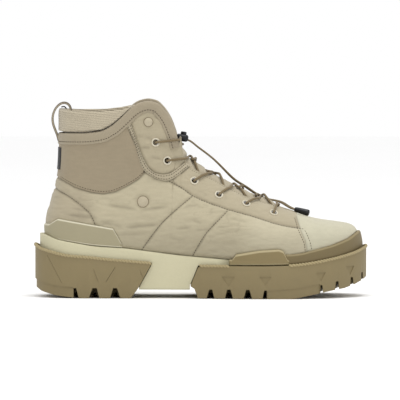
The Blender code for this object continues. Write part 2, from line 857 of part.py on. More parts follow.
def make_outsoles():
    heel_front = HEEL_BOTTOM[-1].along * ALONG
    heel = outsole_body(
        "outsole_heel", heel_top_height, HEEL_BOTTOM, SOLE_BACK, heel_front, True, False, 0.012
    )
    combine(heel, joined("heel_grooves", groove_cutters(HEEL_GROOVES)), "DIFFERENCE")
    combine(heel, joined("heel_tread", tread_cutters(HEEL_TREAD, HEEL_BOTTOM)), "DIFFERENCE")
    reach = HEEL_STEP[-1].along * ALONG
    round_end = np.radians(np.linspace(8, 90, 7))
    back_places = SOLE_BACK + (reach - SOLE_BACK) * (1 - np.cos(round_end))
    strip = band_cutter(HEEL_STEP, -1, back_places[::-1])
    strip += band_cutter(HEEL_STEP, 1, back_places)
    combine(heel, joined("heel_step", [loft(strip)]), "DIFFERENCE")

    fore_back = FORE_BOTTOM[0].along * ALONG
    fore = outsole_body(
        "outsole_forefoot", fore_top_height, FORE_BOTTOM, fore_back, SOLE_FRONT, False, True, 0.014
    )
    combine(fore, joined("fore_grooves", groove_cutters(FORE_GROOVES)), "DIFFERENCE")
    combine(fore, joined("fore_tread", tread_cutters(FORE_TREAD, FORE_BOTTOM)), "DIFFERENCE")
    places = np.linspace(FORE_STEP[0].along, FORE_STEP[-1].along - 0.02, 7) * ALONG
    bands = [loft(band_cutter(FORE_STEP, side, places)) for side in (-1, 1)]
    combine(fore, joined("fore_recesses", bands + wedge_cutters()), "DIFFERENCE")


def midsole_half(x):
    """Half width of the midsole: a lip round the heel and waist, none under the rand."""
    under_rand = np.clip((x / ALONG - 5.4) / 2.7, 0, 1)
    lip = MIDSOLE_LIP - under_rand * (MIDSOLE_LIP + MIDSOLE_TUCK)
    return plan_half(x, MIDSOLE_BACK, UPPER_FRONT - MIDSOLE_TUCK, UPPER_SIDE_SET_IN - lip)


def heel_seat():
    """Side outline of the room that the heel unit takes in the midsole."""
    front, foot = HEEL_BOTTOM[-1], HEEL_BOTTOM[-2]
    clear = 2 * FIT
    places = np.linspace(SOLE_BACK, front.along * ALONG, 24)
    outline = [(x, float(heel_top_height(x)) + FIT) for x in places]
    outline[0] = (SOLE_BACK - 0.01, outline[0][1])
    outline.append((front.along * ALONG + clear, outline[-1][1]))
    outline.append((front.along * ALONG + clear, front.up * UP))
    outline.append((foot.along * ALONG + clear, foot.up * UP))
    outline.append((foot.along * ALONG + clear, -0.01))
    outline.append((SOLE_BACK - 0.01, -0.01))
    return outline


def fore_seat():
    """Side outline of the room that the forefoot unit takes in the midsole."""
    clear = 2 * FIT
    start, shoulder = FORE_TOP[0], FORE_TOP[1]
    outline = [
        (start.along * ALONG - clear, -0.01),
        (start.along * ALONG - clear, start.up * UP),
        (shoulder.along * ALONG - clear, shoulder.up * UP + FIT),
    ]
    places = np.linspace(shoulder.along * ALONG, SOLE_FRONT, 24)
    outline += [(x, float(fore_top_height(x)) + FIT) for x in places]
    outline.append((SOLE_FRONT + 0.01, outline[-1][1]))
    outline.append((SOLE_FRONT + 0.01, -0.01))
    return outline


def make_midsole():
    sections = []
    for x in stations([MIDSOLE_EDGE], MIDSOLE_BACK, UPPER_FRONT - MIDSOLE_TUCK, True, True, 0.014):
        half = max(float(midsole_half(x)), END_HALF)
        middle = float(shift(x))
        high = float(side_height(MIDSOLE_EDGE, x))
        low = MIDSOLE_BOTTOM_UP * UP
        ring = [
            (half - MIDSOLE_DRAFT, high),
            (half - 0.3 * MIDSOLE_DRAFT, high - EDGE_CHAMFER),
            (half, low),
        ]
        left = [(x, middle - y, z) for y, z in ring]
        right = [(x, middle + y, z) for y, z in reversed(ring)]
        sections.append(left + right)
    midsole = solid("midsole", *loft(sections), CREAM, 0.7)
    wide = SOLE_BALL_WIDTH
    for name, outline in (("heel_seat", heel_seat()), ("fore_seat", fore_seat())):
        combine(midsole, solid(name, *prism_mesh(outline, -wide, wide), BLACK), "DIFFERENCE")


def make_insole():
    back = UPPER_BACK + INSOLE_SET_IN
    front = UPPER_FRONT - 1.3 * INSOLE_SET_IN
    sections = []
    for x in stations([], back, front, True, True, 0.018):
        half = plan_half(x, back, front, UPPER_SIDE_SET_IN + INSOLE_SET_IN)
        half = max(float(half), END_HALF)
        middle = float(shift(x))
        low = float(side_height(MIDSOLE_EDGE, x)) + 2 * FIT
        high = low + INSOLE_THICKNESS
        ring = [(middle - half, low), (middle - half, high), (middle + half, high), (middle + half, low)]
        sections.append([(x, y, z) for y, z in ring])
    solid("insole", *loft(sections), TAUPE, 0.9)


def upper_grids():
    levels = np.linspace(0, 1, UPPER_LEVELS)
    v = UPPER_TRIM[:, None] * levels[None, :]
    u = np.repeat(COLUMNS[:, None], UPPER_LEVELS, axis=1)
    outer = last_point(u, v)
    inner = off_last(u, v, np.full(u.shape, -WALL))
    inner[:, 0, 2] = outer[:, 0, 2]
    return outer, inner


def mirrored(place):
    """The same place on the other side of the boot."""
    return np.array([1 - place[0], place[1]])


def frame_at(place):
    """A point on the last, the way out of it, and two ways along it."""
    point = last_point(*place)
    out = last_normal(*place)
    along = last_point(place[0] + 1e-4, place[1]) - point
    along -= out * np.dot(along, out)
    along /= np.linalg.norm(along)
    return point, out, along, np.cross(out, along)


def turned(place, profile, count, closed):
    """A round piece on the last: profile rows give radius and height above it."""
    point, out, along, across = frame_at(place)
    angles = np.arange(count) * 2 * math.pi / count
    rows = []
    if closed:
        for angle in angles:
            ray = math.cos(angle) * along + math.sin(angle) * across
            rows.append([point + radius * ray + height * out for radius, height in profile])
        return loft(rows, True)
    for radius, height in profile:
        rays = [math.cos(a) * along + math.sin(a) * across for a in angles]
        rows.append([point + radius * ray + height * out for ray in rays])
    return loft(rows)


def eyelet_places():
    """Places of the eyelets, lateral and medial, from the top one down."""
    lateral = [locate(row.along * ALONG, row.up * UP) for row in EYELETS]
    medial = [mirrored(locate(row.along * ALONG, row.up * UP)) for row in MEDIAL_EYELETS]
    return lateral, medial


def make_upper(lateral, medial):
    outer, inner = upper_grids()
    upper = solid("upper", *wrap(outer, inner, True), SAND, 0.8)
    through = [(WALL_HOLE_RADIUS, -2.4 * WALL), (WALL_HOLE_RADIUS, WALL)]
    holes = [turned(place, through, 10, False) for place in lateral + medial]
    combine(upper, joined("lace_holes", holes), "DIFFERENCE")


def make_eyelets(lateral, medial):
    top = OVERLAY_FIT + EYELET_HEIGHT
    profile = [
        (EYELET_HOLE_RADIUS, OVERLAY_FIT),
        (EYELET_HOLE_RADIUS, top),
        (0.8 * EYELET_RADIUS, top),
        (EYELET_RADIUS, OVERLAY_FIT + 0.4 * EYELET_HEIGHT),
        (EYELET_RADIUS, OVERLAY_FIT),
    ]
    for side, places in (("lateral", lateral), ("medial", medial)):
        for number, place in enumerate(places, 1):
            solid(f"eyelet_{side}_{number}", *turned(place, profile, 8, True), RING, 0.35)


def make_snaps():
    for row in SNAPS:
        place = locate(row.along * ALONG, row.up * UP)
        profile = [
            (row.radius, OVERLAY_FIT),
            (row.radius, OVERLAY_FIT + 0.6 * SNAP_HEIGHT),
            (0.75 * row.radius, OVERLAY_FIT + SNAP_HEIGHT),
        ]
        for side, spot in (("lateral", place), ("medial", mirrored(place))):
            solid(f"snap_{side}_{row.name}", *turned(spot, profile, 10, False), SAND, 0.5)


def overlay(name, columns, levels, thickness, outline, colour, half=0):
    """A piece on the upper: its form from the last, its edges from a side outline."""
    u = np.repeat(columns[:, None], len(levels), axis=1)
    v = np.repeat(np.asarray(levels)[None, :], len(columns), axis=0)
    inner = off_last(u, v, np.full(u.shape, OVERLAY_FIT))
    outer = off_last(u, v, OVERLAY_FIT + np.broadcast_to(thickness, u.shape))
    piece = solid(name, *wrap(outer, inner, False), colour, 0.7)
    near = -SOLE_BALL_WIDTH if half <= 0 else 0.0
    far = SOLE_BALL_WIDTH if half >= 0 else 0.0
    combine(piece, solid(name + "_outline", *prism_mesh(outline, near, far), BLACK), "INTERSECT")
    return piece


def heel_columns(reach):
    """Columns round the heel, from the medial to the lateral side, up to the rib numbered reach."""
    lateral = COLUMNS[COLUMNS <= AROUND[reach] + 1e-9]
    return np.concatenate([-lateral[:0:-1], lateral])


def toe_columns(reach):
    kept = (COLUMNS >= AROUND[reach] - 1e-9) & (COLUMNS <= 1 - AROUND[reach] + 1e-9)
    return COLUMNS[kept]


def make_counter():
    places = np.linspace(COUNTER[-1].along * ALONG, MIDSOLE_BACK, 12)
    foot = [(x, float(side_height(MIDSOLE_EDGE, x)) + 2 * FIT) for x in places]
    foot.append((COUNTER[0].along * ALONG, foot[-1][1]))
    outline = scaled(COUNTER[:-1]) + foot
    levels = np.linspace(-0.02, 0.26, 5)
    overlay("heel_counter", heel_columns(4), levels, COUNTER_THICKNESS, outline, GREY_GREEN)


def fore_foot_line(start, end, count):
    return [
        (x, float(fore_top_height(x)) + 2 * FIT)
        for x in np.linspace(start, end, count)
    ]


def make_rand_and_wings():
    levels = np.linspace(-0.1, 0.3, 8)
    taper = 1.25 - 0.55 * np.clip(levels / 0.25, 0, 1)
    beyond = RAND[-1].along * ALONG
    foot = fore_foot_line(RAND_FOOT_FROM * ALONG, SOLE_FRONT, 14)
    foot.append((beyond, foot[-1][1]))
    outline = scaled(RAND) + foot[::-1]
    thickness = RAND_THICKNESS * taper[None, :]
    overlay("toe_rand", toe_columns(7), levels, thickness, outline, KHAKI_RUBBER)
    foot = fore_foot_line(WING[0].along * ALONG, WING_FOOT_TO * ALONG, 6)
    outline = scaled(WING) + foot[:0:-1]
    levels = np.linspace(-0.1, 0.2, 5)
    lateral = COLUMNS[(COLUMNS >= AROUND[6] - 0.02) & (COLUMNS <= AROUND[9])]
    for side, columns, half in (("lateral", lateral, -1), ("medial", 1 - lateral[::-1], 1)):
        overlay("wing_" + side, columns, levels, WING_THICKNESS, outline, KHAKI_RUBBER, half)


def walk(place, move):
    """The place on the last that lies one move away along its face."""
    goal = last_point(*place) + move
    here = np.array(place, float)
    for _ in range(6):
        point = last_point(*here)
        by_u = (last_point(here[0] + 1e-4, here[1]) - point) / 1e-4
        by_v = (point - last_point(here[0], here[1] - 1e-4)) / 1e-4
        step = np.linalg.lstsq(np.array([by_u, by_v]).T, goal - point, rcond=None)[0]
        here = here + np.clip(step, -0.05, 0.05)
    return here


def binding_edge():
    """The upper's top edge as [place, point, way across it], from flap to flap round the heel."""
    bound = np.nonzero(UPPER_TRIM < 1)[0]
    order = [i for i in bound if COLUMNS[i] > 0.5] + [i for i in bound if COLUMNS[i] < 0.5]
    places = [(COLUMNS[i] - (COLUMNS[i] > 0.5), UPPER_TRIM[i]) for i in order]
    points = np.array([last_point(*place) for place in places])
    ways = np.gradient(points, axis=0)
    edge = []
    for place, point, way in zip(places, points, ways):
        away = np.cross(last_normal(*place), way)
        edge.append((place, point, away / np.linalg.norm(away)))
    return edge


def binding_section(place, point, away):
    """The tape folded over the edge: up the outside, over, down the inside and back."""
    gap = OVERLAY_FIT
    outside = gap + BINDING_THICKNESS
    corner = gap + 0.4 * BINDING_THICKNESS
    out = last_normal(*place)
    legs = [walk(place, -share * BINDING_WIDTH * away) for share in (1.0, 0.5)]
    leg_points = [last_point(*leg) for leg in legs]
    leg_outs = [last_normal(*leg) for leg in legs]
    leg_rows = list(zip(leg_points, leg_outs))
    ring = [leg_points[0] + gap * leg_outs[0]]
    ring += [p + outside * n for p, n in leg_rows]
    ring += [
        point + outside * out,
        point + corner * out + outside * away,
        point - (WALL + corner) * out + outside * away,
        point - (WALL + outside) * out,
    ]
    ring += [p - (WALL + outside) * n for p, n in leg_rows[::-1]]
    ring += [p - (WALL + gap) * n for p, n in leg_rows]
    ring += [point - (WALL + gap) * out + gap * away, point + gap * out + gap * away]
    ring += [leg_points[1] + gap * leg_outs[1]]
    return ring


def make_binding():
    sections = [binding_section(*row) for row in binding_edge()]
    points, faces = loft(sections)
    size = len(sections[0])
    caps = [
        (0, 1, 2, 13),
        (13, 2, 3, 12),
        (12, 3, 4),
        (12, 4, 5, 11),
        (11, 5, 6),
        (11, 6, 7, 10),
        (10, 7, 8, 9),
    ]
    faces = faces[:-2]
    for base in (0, (len(sections) - 1) * size):
        faces += [[base + k for k in cap] for cap in caps]
    solid("collar_binding", points, faces, TAUPE, 0.75)


def level_at(u, height):
    """How far up a column stands at a height."""
    low = np.zeros(len(u))
    high = np.ones(len(u))
    for _ in range(40):
        middle = (low + high) / 2
        above = last_point(u, middle)[:, 2] > height
        high = np.where(above, middle, high)
        low = np.where(above, low, middle)
    return high


def make_cuff():
    columns = heel_columns(4)
    x = last_point(columns, level_at(columns, np.full(len(columns), 0.9 * BOOT_HEIGHT)))[:, 0]
    columns = columns[x < CUFF_ENDS * ALONG]
    x = x[x < CUFF_ENDS * ALONG]
    top_line = top_line_height(x)
    cuff_top = side_height(CUFF_TOP, x)
    tuck = -(WALL + 4 * OVERLAY_FIT + BINDING_THICKNESS)
    foot = np.minimum(top_line, cuff_top) - CUFF_TUCK
    outer = []
    inner = []
    for share in (0.0, 0.35, 0.55, 0.75, 1.0):
        height = foot + share * (cuff_top - foot)
        v = level_at(columns, height)
        rise = np.clip((height - top_line - 0.002) / 0.007, 0, 1)
        rise = rise * rise * (3 - 2 * rise)
        out = tuck + rise * (CUFF_SWELL - tuck)
        thin = CUFF_THICKNESS * (0.6 if share == 1 else 1)
        outer.append(off_last(columns, v, out - (CUFF_THICKNESS - thin) / 2))
        inner.append(off_last(columns, v, out - (CUFF_THICKNESS + thin) / 2))
    outer = np.swapaxes(np.array(outer), 0, 1)
    inner = np.swapaxes(np.array(inner), 0, 1)
    solid("collar_cuff", *wrap(outer, inner, False), SAND, 0.9)


def ridge_point(share):
    """A point of the tongue's middle line, by share of its run from the top."""
    rows = np.array(scaled(RIDGE))
    run = np.concatenate([[0], np.cumsum(np.linalg.norm(np.diff(rows, axis=0), axis=1))])
    weights = spline_weights(run / run[-1], np.array([share]), False)
    x, z = (weights @ rows)[0]
    return np.array([x, 0.0, z])


def throat_columns():
    """Lateral columns that end at the throat, with the point of the tongue's middle nearest to each."""
    ridge = np.array([ridge_point(s) for s in np.linspace(0, 1, 120)])
    rows = []
    for u, v in zip(COLUMNS, UPPER_TRIM):
        top = last_point(u, v)
        if AROUND[3] < u < AROUND[9] - 1e-6 and top[2] < FLAP_OPENS * UP:
            nearest = np.argmin(np.linalg.norm((ridge - top)[:, [0, 2]], axis=1))
            rows.append((float(u), float(v), nearest / 119))
    return rows


def tongue_side(u, v, seat):
    """Points from the tongue's middle out to its flank under one side of the upper."""
    under = WALL + TONGUE_CLEARANCE
    if v < 1:
        under += BINDING_THICKNESS + OVERLAY_FIT
    middle = ridge_point(seat)
    edge = off_last(u, v - 0.01, -under)
    points = []
    for t in (0.0, 0.4, 0.75):
        rise = (1 - t * t) ** 0.8
        point = edge + (middle - edge) * np.array([rise, 0, rise])
        point[1] = edge[1] * t
        points.append(point)
    return points + [edge, off_last(u, v - TONGUE_FLANK, -under)]


def tongue_face():
    """Upper face of the tongue [section, point across], from its top end to the vamp."""
    columns = sorted(throat_columns(), key=lambda row: row[2])
    rows = []
    for u, v, seat in columns:
        medial = tongue_side(1 - u, v, seat)
        lateral = tongue_side(u, v, seat)
        rows.append(medial[:0:-1] + lateral)
    first = np.array(rows[0])
    top_end = ridge_point(0.0) - ridge_point(columns[0][2])
    above = []
    for share in (1.0, 0.5):
        row = first + share * top_end
        row[:, 1] *= 1 - share * TONGUE_NARROWING
        above.append(row)
    last_seat = columns[-1][2]
    below = []
    for share in (0.5, 1.0):
        row = np.array(rows[-1]) + ridge_point(last_seat + share * (1 - last_seat)) - ridge_point(last_seat)
        row[:, 1] *= 1 - share * TONGUE_NARROWING
        below.append(row)
    return np.array(above + rows + below)


def make_tongue(top):
    along = np.gradient(top, axis=0)
    across = np.gradient(top, axis=1)
    normal = np.cross(along, across)
    normal *= np.sign(normal[:, 4:5, 2:3])
    normal /= np.linalg.norm(normal, axis=2, keepdims=True)
    solid("tongue", *wrap(top, top - TONGUE_THICKNESS * normal, False), SAND, 0.85)


def smooth_route(route, count):
    """Points along a smooth curve through the points of a route."""
    route = np.array(route, float)
    knots = np.concatenate([[0], np.cumsum(np.linalg.norm(np.diff(route, axis=0), axis=1))])
    return spline_weights(knots, np.linspace(0, knots[-1], count), False) @ route


def tube(points, radius, sides=6):
    """A round strand as rings along its points."""
    points = np.asarray(points)
    ways = np.gradient(points, axis=0)
    ways /= np.linalg.norm(ways, axis=1, keepdims=True)
    up = np.array([0.0, 0.0, 1.0])
    rings = []
    for point, way in zip(points, ways):
        first = np.cross(way, up)
        first /= np.linalg.norm(first)
        second = np.cross(first, way)
        angles = np.arange(sides) * 2 * math.pi / sides
        rings.append([point + radius * (math.cos(a) * first + math.sin(a) * second) for a in angles])
    return loft(rings)


def tongue_point(face, x, across):
    """A point on the tongue at x, across from -1 (lateral edge) to 1 (medial edge), and its way out."""
    places = np.array([3.0 - 3 * across, 4.0 - 3 * across, 5.0 - 3 * across]) + 0.0
    rows = []
    for place in places:
        k = int(np.clip(np.floor(place), 0, 7))
        line = face[:, k] + (place - k) * (face[:, k + 1] - face[:, k])
        order = np.argsort(line[:, 0])
        rows.append([np.interp(x + d, line[order, 0], line[order, i]) for d in (0, 0.004) for i in range(3)])
    rows = np.array(rows)
    point = rows[1, :3]
    out = np.cross(rows[1, 3:] - point, rows[0, :3] - rows[2, :3])
    return point, out / np.linalg.norm(out)


def throat_edge(x, side):
    """The place on the last where the throat's edge stands at x."""
    kept = [i for i, u in enumerate(COLUMNS) if AROUND[3] < u < AROUND[10]]
    tops = last_point(COLUMNS[kept], UPPER_TRIM[kept])
    open_edge = tops[:, 2] < FLAP_OPENS * UP
    order = np.argsort(tops[open_edge, 0])
    u = np.interp(x, tops[open_edge, 0][order], COLUMNS[kept][open_edge][order])
    v = np.interp(x, tops[open_edge, 0][order], UPPER_TRIM[kept][open_edge][order])
    return (u, v) if side < 0 else (1 - u, v)


def strand_route(start, goal, crossing, back, face):
    """A strand out of one eyelet, over the throat's edge and the tongue, to the edge before the next."""
    begin, out, _, _ = frame_at(start)
    end = last_point(*goal)
    side = -1 if start[0] < 0.5 else 1
    above = LACE_RADIUS + LACE_CLEARANCE
    edge = throat_edge((crossing.edge - 0.5 * back) * ALONG, side)
    over_binding = OVERLAY_FIT + BINDING_THICKNESS if edge[1] < 1 else 0.0
    ridge_x = (crossing.ridge - back) * ALONG
    far_x = ridge_x + 0.5 * (end[0] - ridge_x)
    route = [
        begin + (OVERLAY_FIT + EYELET_HEIGHT + above + LACE_LIFT) * out,
        off_last(edge[0], edge[1], above + over_binding + LACE_LIFT),
    ]
    for x, across in ((ridge_x, 0.0), (far_x, 0.62)):
        point, way = tongue_point(face, x, side * -across)
        route.append(point + (above + LACE_LIFT) * way)
    return route


def make_lace(lateral, medial, face):
    for number, crossing in enumerate(CROSSINGS[:-1], 1):
        upper_pair = (lateral[number - 1], medial[number - 1])
        lower_pair = (medial[number], lateral[number])
        strands = []
        for start, goal, back in zip(upper_pair, lower_pair, (0.0, crossing.back)):
            route = strand_route(start, goal, crossing, back, face)
            strands.append(tube(smooth_route(route, 9), LACE_RADIUS))
        cross = solid(f"lace_cross_{number}", *strands[0], OLIVE_TAN)
        combine(cross, solid(f"lace_under_{number}", *strands[1], OLIVE_TAN), "UNION")
    left = strand_route(lateral[-1], medial[-1], CROSSINGS[-1], 0.0, face)
    right = strand_route(medial[-1], lateral[-1], CROSSINGS[-1], 0.0, face)
    bar = left[:3] + right[1::-1]
    solid("lace_bar", *tube(smooth_route(bar, 13), LACE_RADIUS), OLIVE_TAN)


def rounded_bar(centre, way, length, width, height, ends=0.75):
    """A block with rounded sides and narrowed ends, laid along a way in the middle plane."""
    way = np.array(way) / np.linalg.norm(way)
    side = np.array([0.0, 1.0, 0.0])
    up = np.cross(way, side)
    rings = []
    for place, size in ((-0.5, ends), (-0.38, 1.0), (0.38, 1.0), (0.5, ends)):
        ring = []
        for k in range(12):
            angle = 2 * math.pi * (k + 0.5) / 12
            c, s = math.cos(angle), math.sin(angle)
            reach = (abs(c) ** 3 + abs(s) ** 3) ** (-1 / 3)
            ring.append(
                np.array(centre)
                + place * length * way
                + size * reach * (width / 2 * c * side + height / 2 * s * up)
            )
        rings.append(ring)
    return loft(rings)


def make_cord_lock():
    solid("cord_lock", *rounded_bar(LOCK_CENTRE, LOCK_WAY, LOCK_LENGTH, LOCK_WIDTH, LOCK_HEIGHT), BLACK, 0.4)
    way = np.array(END_CAP_TO) - np.array(END_CAP_FROM)
    way /= np.linalg.norm(way)
    side = np.array([0.0, 1.0, 0.0])
    up = np.cross(way, side)
    rings = []
    for share, radius in ((0.0, 0.0020), (0.12, 0.0024), (0.85, 0.0031), (1.0, 0.0025)):
        centre = np.array(END_CAP_FROM) + share * (np.array(END_CAP_TO) - np.array(END_CAP_FROM))
        rings.append([
            centre + radius * (math.cos(a) * side + math.sin(a) * up)
            for a in np.arange(8) * math.pi / 4
        ])
    solid("cord_end", *loft(rings), BLACK, 0.4)


def make_tails():
    for name, side in (("tail_lateral", -1), ("tail_medial", 1)):
        middle = np.array(TAIL_ROUTE)
        ways = np.gradient(middle, axis=0)
        beside = np.stack([-ways[:, 1], ways[:, 0], 0 * ways[:, 0]], axis=1)
        beside /= np.linalg.norm(beside, axis=1, keepdims=True)
        route = middle + side * TAIL_APART / 2 * beside
        length = np.linalg.norm(np.diff(route, axis=0), axis=1).sum()
        points = smooth_route(route, max(8, int(length / TAIL_POINT_STEP)))
        curve = bpy.data.curves.new(name, "CURVE")
        curve.dimensions = "3D"
        curve.bevel_depth = TAIL_RADIUS
        curve.bevel_resolution = 2
        curve.use_fill_caps = True
        spline = curve.splines.new("POLY")
        spline.points.add(len(points) - 1)
        for dot, point in zip(spline.points, points):
            dot.co = (*point, 1)
        curve.materials.append(material(name, OLIVE_TAN, 0.8))
        bpy.context.scene.collection.objects.link(bpy.data.objects.new(name, curve))


def strip(name, route, width, thickness, count, colour):
    """A band of webbing along a route in the middle plane."""
    route = smooth_route([(row.along * ALONG, 0, row.up * UP) for row in route], count)
    ways = np.gradient(route, axis=0)
    ways /= np.linalg.norm(ways, axis=1, keepdims=True)
    rings = []
    for point, way in zip(route, ways):
        out = np.array([-way[2], 0, way[0]]) * thickness / 2
        side = np.array([0, width / 2, 0])
        rings.append([point + out - side, point + out + side, point - out + side, point - out - side])
    solid(name, *loft(rings), colour, 0.85)


def back_place(y, z):
    """The place on the last that a view from the heel shows at y, z."""
    u = 0.02 * np.sign(-y) if y else 0.0
    place = np.array([u, 0.5])
    for _ in range(20):
        here = last_point(*place)[1:]
        by_u = (last_point(place[0] + 1e-4, place[1])[1:] - here) / 1e-4
        by_v = (last_point(place[0], place[1] - 1e-4)[1:] - here) / -1e-4
        move = np.linalg.solve(np.array([by_u, by_v]).T, np.array([y, z]) - here)
        place = place + np.clip(move, -0.03, 0.03)
    return place


def make_label():
    outer = []
    inner = []
    for y in np.linspace(-LABEL_WIDTH / 2, LABEL_WIDTH / 2, 7):
        places = [back_place(y, z) for z in np.linspace(*LABEL_UP, 4) * UP]
        inner.append([off_last(*place, OVERLAY_FIT) for place in places])
        outer.append([off_last(*place, OVERLAY_FIT + LABEL_THICKNESS) for place in places])
    solid("heel_label", *wrap(np.array(outer), np.array(inner), False), BLACK, 0.8)


clear_scene()
make_outsoles()
make_midsole()
make_insole()
LATERAL_EYELETS, MEDIAL_PLACES = eyelet_places()
make_upper(LATERAL_EYELETS, MEDIAL_PLACES)
make_eyelets(LATERAL_EYELETS, MEDIAL_PLACES)
make_snaps()
make_counter()
make_rand_and_wings()
make_binding()
make_cuff()
TONGUE_FACE = tongue_face()
make_tongue(TONGUE_FACE)
make_lace(LATERAL_EYELETS, MEDIAL_PLACES, TONGUE_FACE)
make_cord_lock()
make_tails()
strip("pull_loop", LOOP_ROUTE, LOOP_WIDTH, LOOP_THICKNESS, 26, TAUPE)
strip("collar_tab", TAB_ROUTE, TAB_WIDTH, TAB_THICKNESS, 7, BLACK)
make_label()
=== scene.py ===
"""A quilted hiking boot for the right foot, dressed around its solids. Metres, toe to +X, lateral side to -Y."""

import math

import bmesh
import bpy
import numpy as np
from mathutils import Matrix, Vector


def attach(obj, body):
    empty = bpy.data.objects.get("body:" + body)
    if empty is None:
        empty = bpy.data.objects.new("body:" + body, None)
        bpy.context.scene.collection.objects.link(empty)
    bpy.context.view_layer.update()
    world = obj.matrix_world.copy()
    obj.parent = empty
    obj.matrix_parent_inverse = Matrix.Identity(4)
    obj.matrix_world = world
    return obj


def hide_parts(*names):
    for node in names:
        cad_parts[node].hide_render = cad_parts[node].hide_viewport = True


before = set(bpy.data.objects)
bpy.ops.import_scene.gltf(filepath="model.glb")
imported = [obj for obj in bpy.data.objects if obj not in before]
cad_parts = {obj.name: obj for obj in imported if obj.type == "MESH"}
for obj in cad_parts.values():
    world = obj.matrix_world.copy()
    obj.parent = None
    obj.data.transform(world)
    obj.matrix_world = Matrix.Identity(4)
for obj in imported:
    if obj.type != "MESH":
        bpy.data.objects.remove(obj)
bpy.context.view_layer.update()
BODY = "root"

# Sizes of the boot, as in its solids
SOLE_LENGTH = 0.308
BOOT_HEIGHT = 0.183
SOLE_BALL_WIDTH = 0.116
SOLE_HEEL_WIDTH = 0.084
SOLE_WAIST_WIDTH = 0.085
UPPER_BALL_WIDTH = 0.104
WALL = 0.0025
FIT = 0.0003
OVERLAY_FIT = 0.0004
MIDSOLE_LIP = 0.0030
MIDSOLE_DRAFT = 0.0012
MIDSOLE_TUCK = 0.0010
BINDING_WIDTH = 0.0095
BINDING_THICKNESS = 0.0011
EYELET_RADIUS = 0.0041
LACE_RADIUS = 0.0011
TAIL_RADIUS = 0.00085
HEEL_ROUND_FROM = -0.357 * SOLE_LENGTH
TOE_ROUND_FROM = 0.227 * SOLE_LENGTH
ROUNDNESS = 2.3
UPPER_BACK_SET_IN = 0.0113
UPPER_TOE_SET_IN = 0.0070
MIDSOLE_BACK_SET_IN = 0.0045
UPPER_SIDE_SET_IN = 0.5 * (SOLE_BALL_WIDTH - UPPER_BALL_WIDTH)
LUG_GROOVE_DEPTH = 0.022
TREAD_WIDTH = 0.0036
TREAD_DEPTH = 0.0040
ALONG = SOLE_LENGTH / 100
UP = BOOT_HEIGHT / 100
ACROSS = UPPER_BALL_WIDTH / 200
MM = 0.001

# Camera: a long lens level with the middle of the boot, a little above it
CAMERA_AWAY = 9.0
CAMERA_TILT = math.radians(2.5)
VIEW_WIDTH = 0.372
SENSOR_WIDTH = 36
VIEW_CENTRE = Vector((-0.0008, 0.0, 0.0892))


def make_camera():
    data = bpy.data.cameras.new("camera")
    camera = bpy.data.objects.new("camera", data)
    bpy.context.scene.collection.objects.link(camera)
    camera.location = VIEW_CENTRE + CAMERA_AWAY * Vector((0, -math.cos(CAMERA_TILT), math.sin(CAMERA_TILT)))
    camera.rotation_euler = (math.pi / 2 - CAMERA_TILT, 0, 0)
    data.sensor_width = SENSOR_WIDTH
    data.lens = SENSOR_WIDTH * CAMERA_AWAY / VIEW_WIDTH
    data.clip_end = 3 * CAMERA_AWAY
    bpy.context.scene.camera = camera


make_camera()

# Plan of the sole: along, half width, shift of its middle to the medial side
HEEL_HALF = SOLE_HEEL_WIDTH / 2
WAIST_HALF = SOLE_WAIST_WIDTH / 2
BALL_HALF = SOLE_BALL_WIDTH / 2
PLAN = (
    (-50, 0.98 * HEEL_HALF, 0.0),
    (-34, 1.00 * HEEL_HALF, 0.0),
    (-26, 1.00 * HEEL_HALF, 0.0),
    (-15, 0.99 * WAIST_HALF, -0.030 * BALL_HALF),
    (-6, 1.00 * WAIST_HALF, -0.055 * BALL_HALF),
    (3.5, 0.80 * BALL_HALF, -0.065 * BALL_HALF),
    (13, 0.91 * BALL_HALF, -0.050 * BALL_HALF),
    (21, 0.98 * BALL_HALF, -0.020 * BALL_HALF),
    (28, 1.00 * BALL_HALF, 0.005 * BALL_HALF),
    (35, 1.00 * BALL_HALF, 0.045 * BALL_HALF),
    (42, 0.98 * BALL_HALF, 0.090 * BALL_HALF),
    (50, 0.96 * BALL_HALF, 0.140 * BALL_HALF),
)
# Side outlines: hundredths of sole length and of boot height
MIDSOLE_EDGE = (
    (-50.0, 32.3), (-46.9, 31.7), (-43.4, 29.6), (-38.5, 28.0), (-31.9, 26.3),
    (-23.4, 25.2), (-15.6, 23.6), (-7.4, 21.9), (-0.3, 20.8), (8.0, 19.8),
    (19.5, 19.1), (29.2, 20.1), (35.7, 21.8), (42.2, 24.4), (50.0, 28.3),
)
MIDSOLE_BOTTOM_UP = 4.3
HEEL_TOP = (
    (-50.0, 26.4), (-48.1, 24.7), (-45.0, 23.3), (-40.1, 21.5), (-33.6, 20.6),
    (-28.7, 19.7), (-14.9, 17.8),
)
HEEL_BOTTOM = (
    (-50.0, 5.4), (-48.1, 3.3), (-45.5, 2.0), (-42.7, 1.1), (-38.4, 0.3),
    (-35.7, 0.0), (-21.1, 0.0), (-18.8, 5.1), (-14.9, 17.2),
)
FORE_TOP = (
    (-3.1, 6.6), (-0.65, 16.5), (16.2, 16.5), (26.0, 16.8), (29.9, 17.3),
    (35.0, 18.5), (42.5, 21.0), (46.9, 23.1), (50.0, 25.4),
)
FORE_BOTTOM = (
    (-3.1, 6.1), (-1.8, 4.7), (-0.85, 0.0), (27.3, 0.0), (29.9, 0.65),
    (35.8, 2.7), (40.0, 4.1), (43.1, 4.9), (46.1, 6.5), (48.4, 8.3), (50.0, 10.0),
)
TOP_LINE = (
    (-42.7, 83.5), (-36.0, 83.6), (-30.2, 84.7), (-26.9, 87.4), (-24.3, 91.1),
    (-21.1, 96.3), (-18.3, 99.2), (-15.9, 100.0), (-13.4, 99.2), (-11.4, 96.3),
    (-9.3, 91.1), (-7.9, 85.2), (-7.3, 81.7), (-6.7, 77.5), (-5.9, 73.0),
)
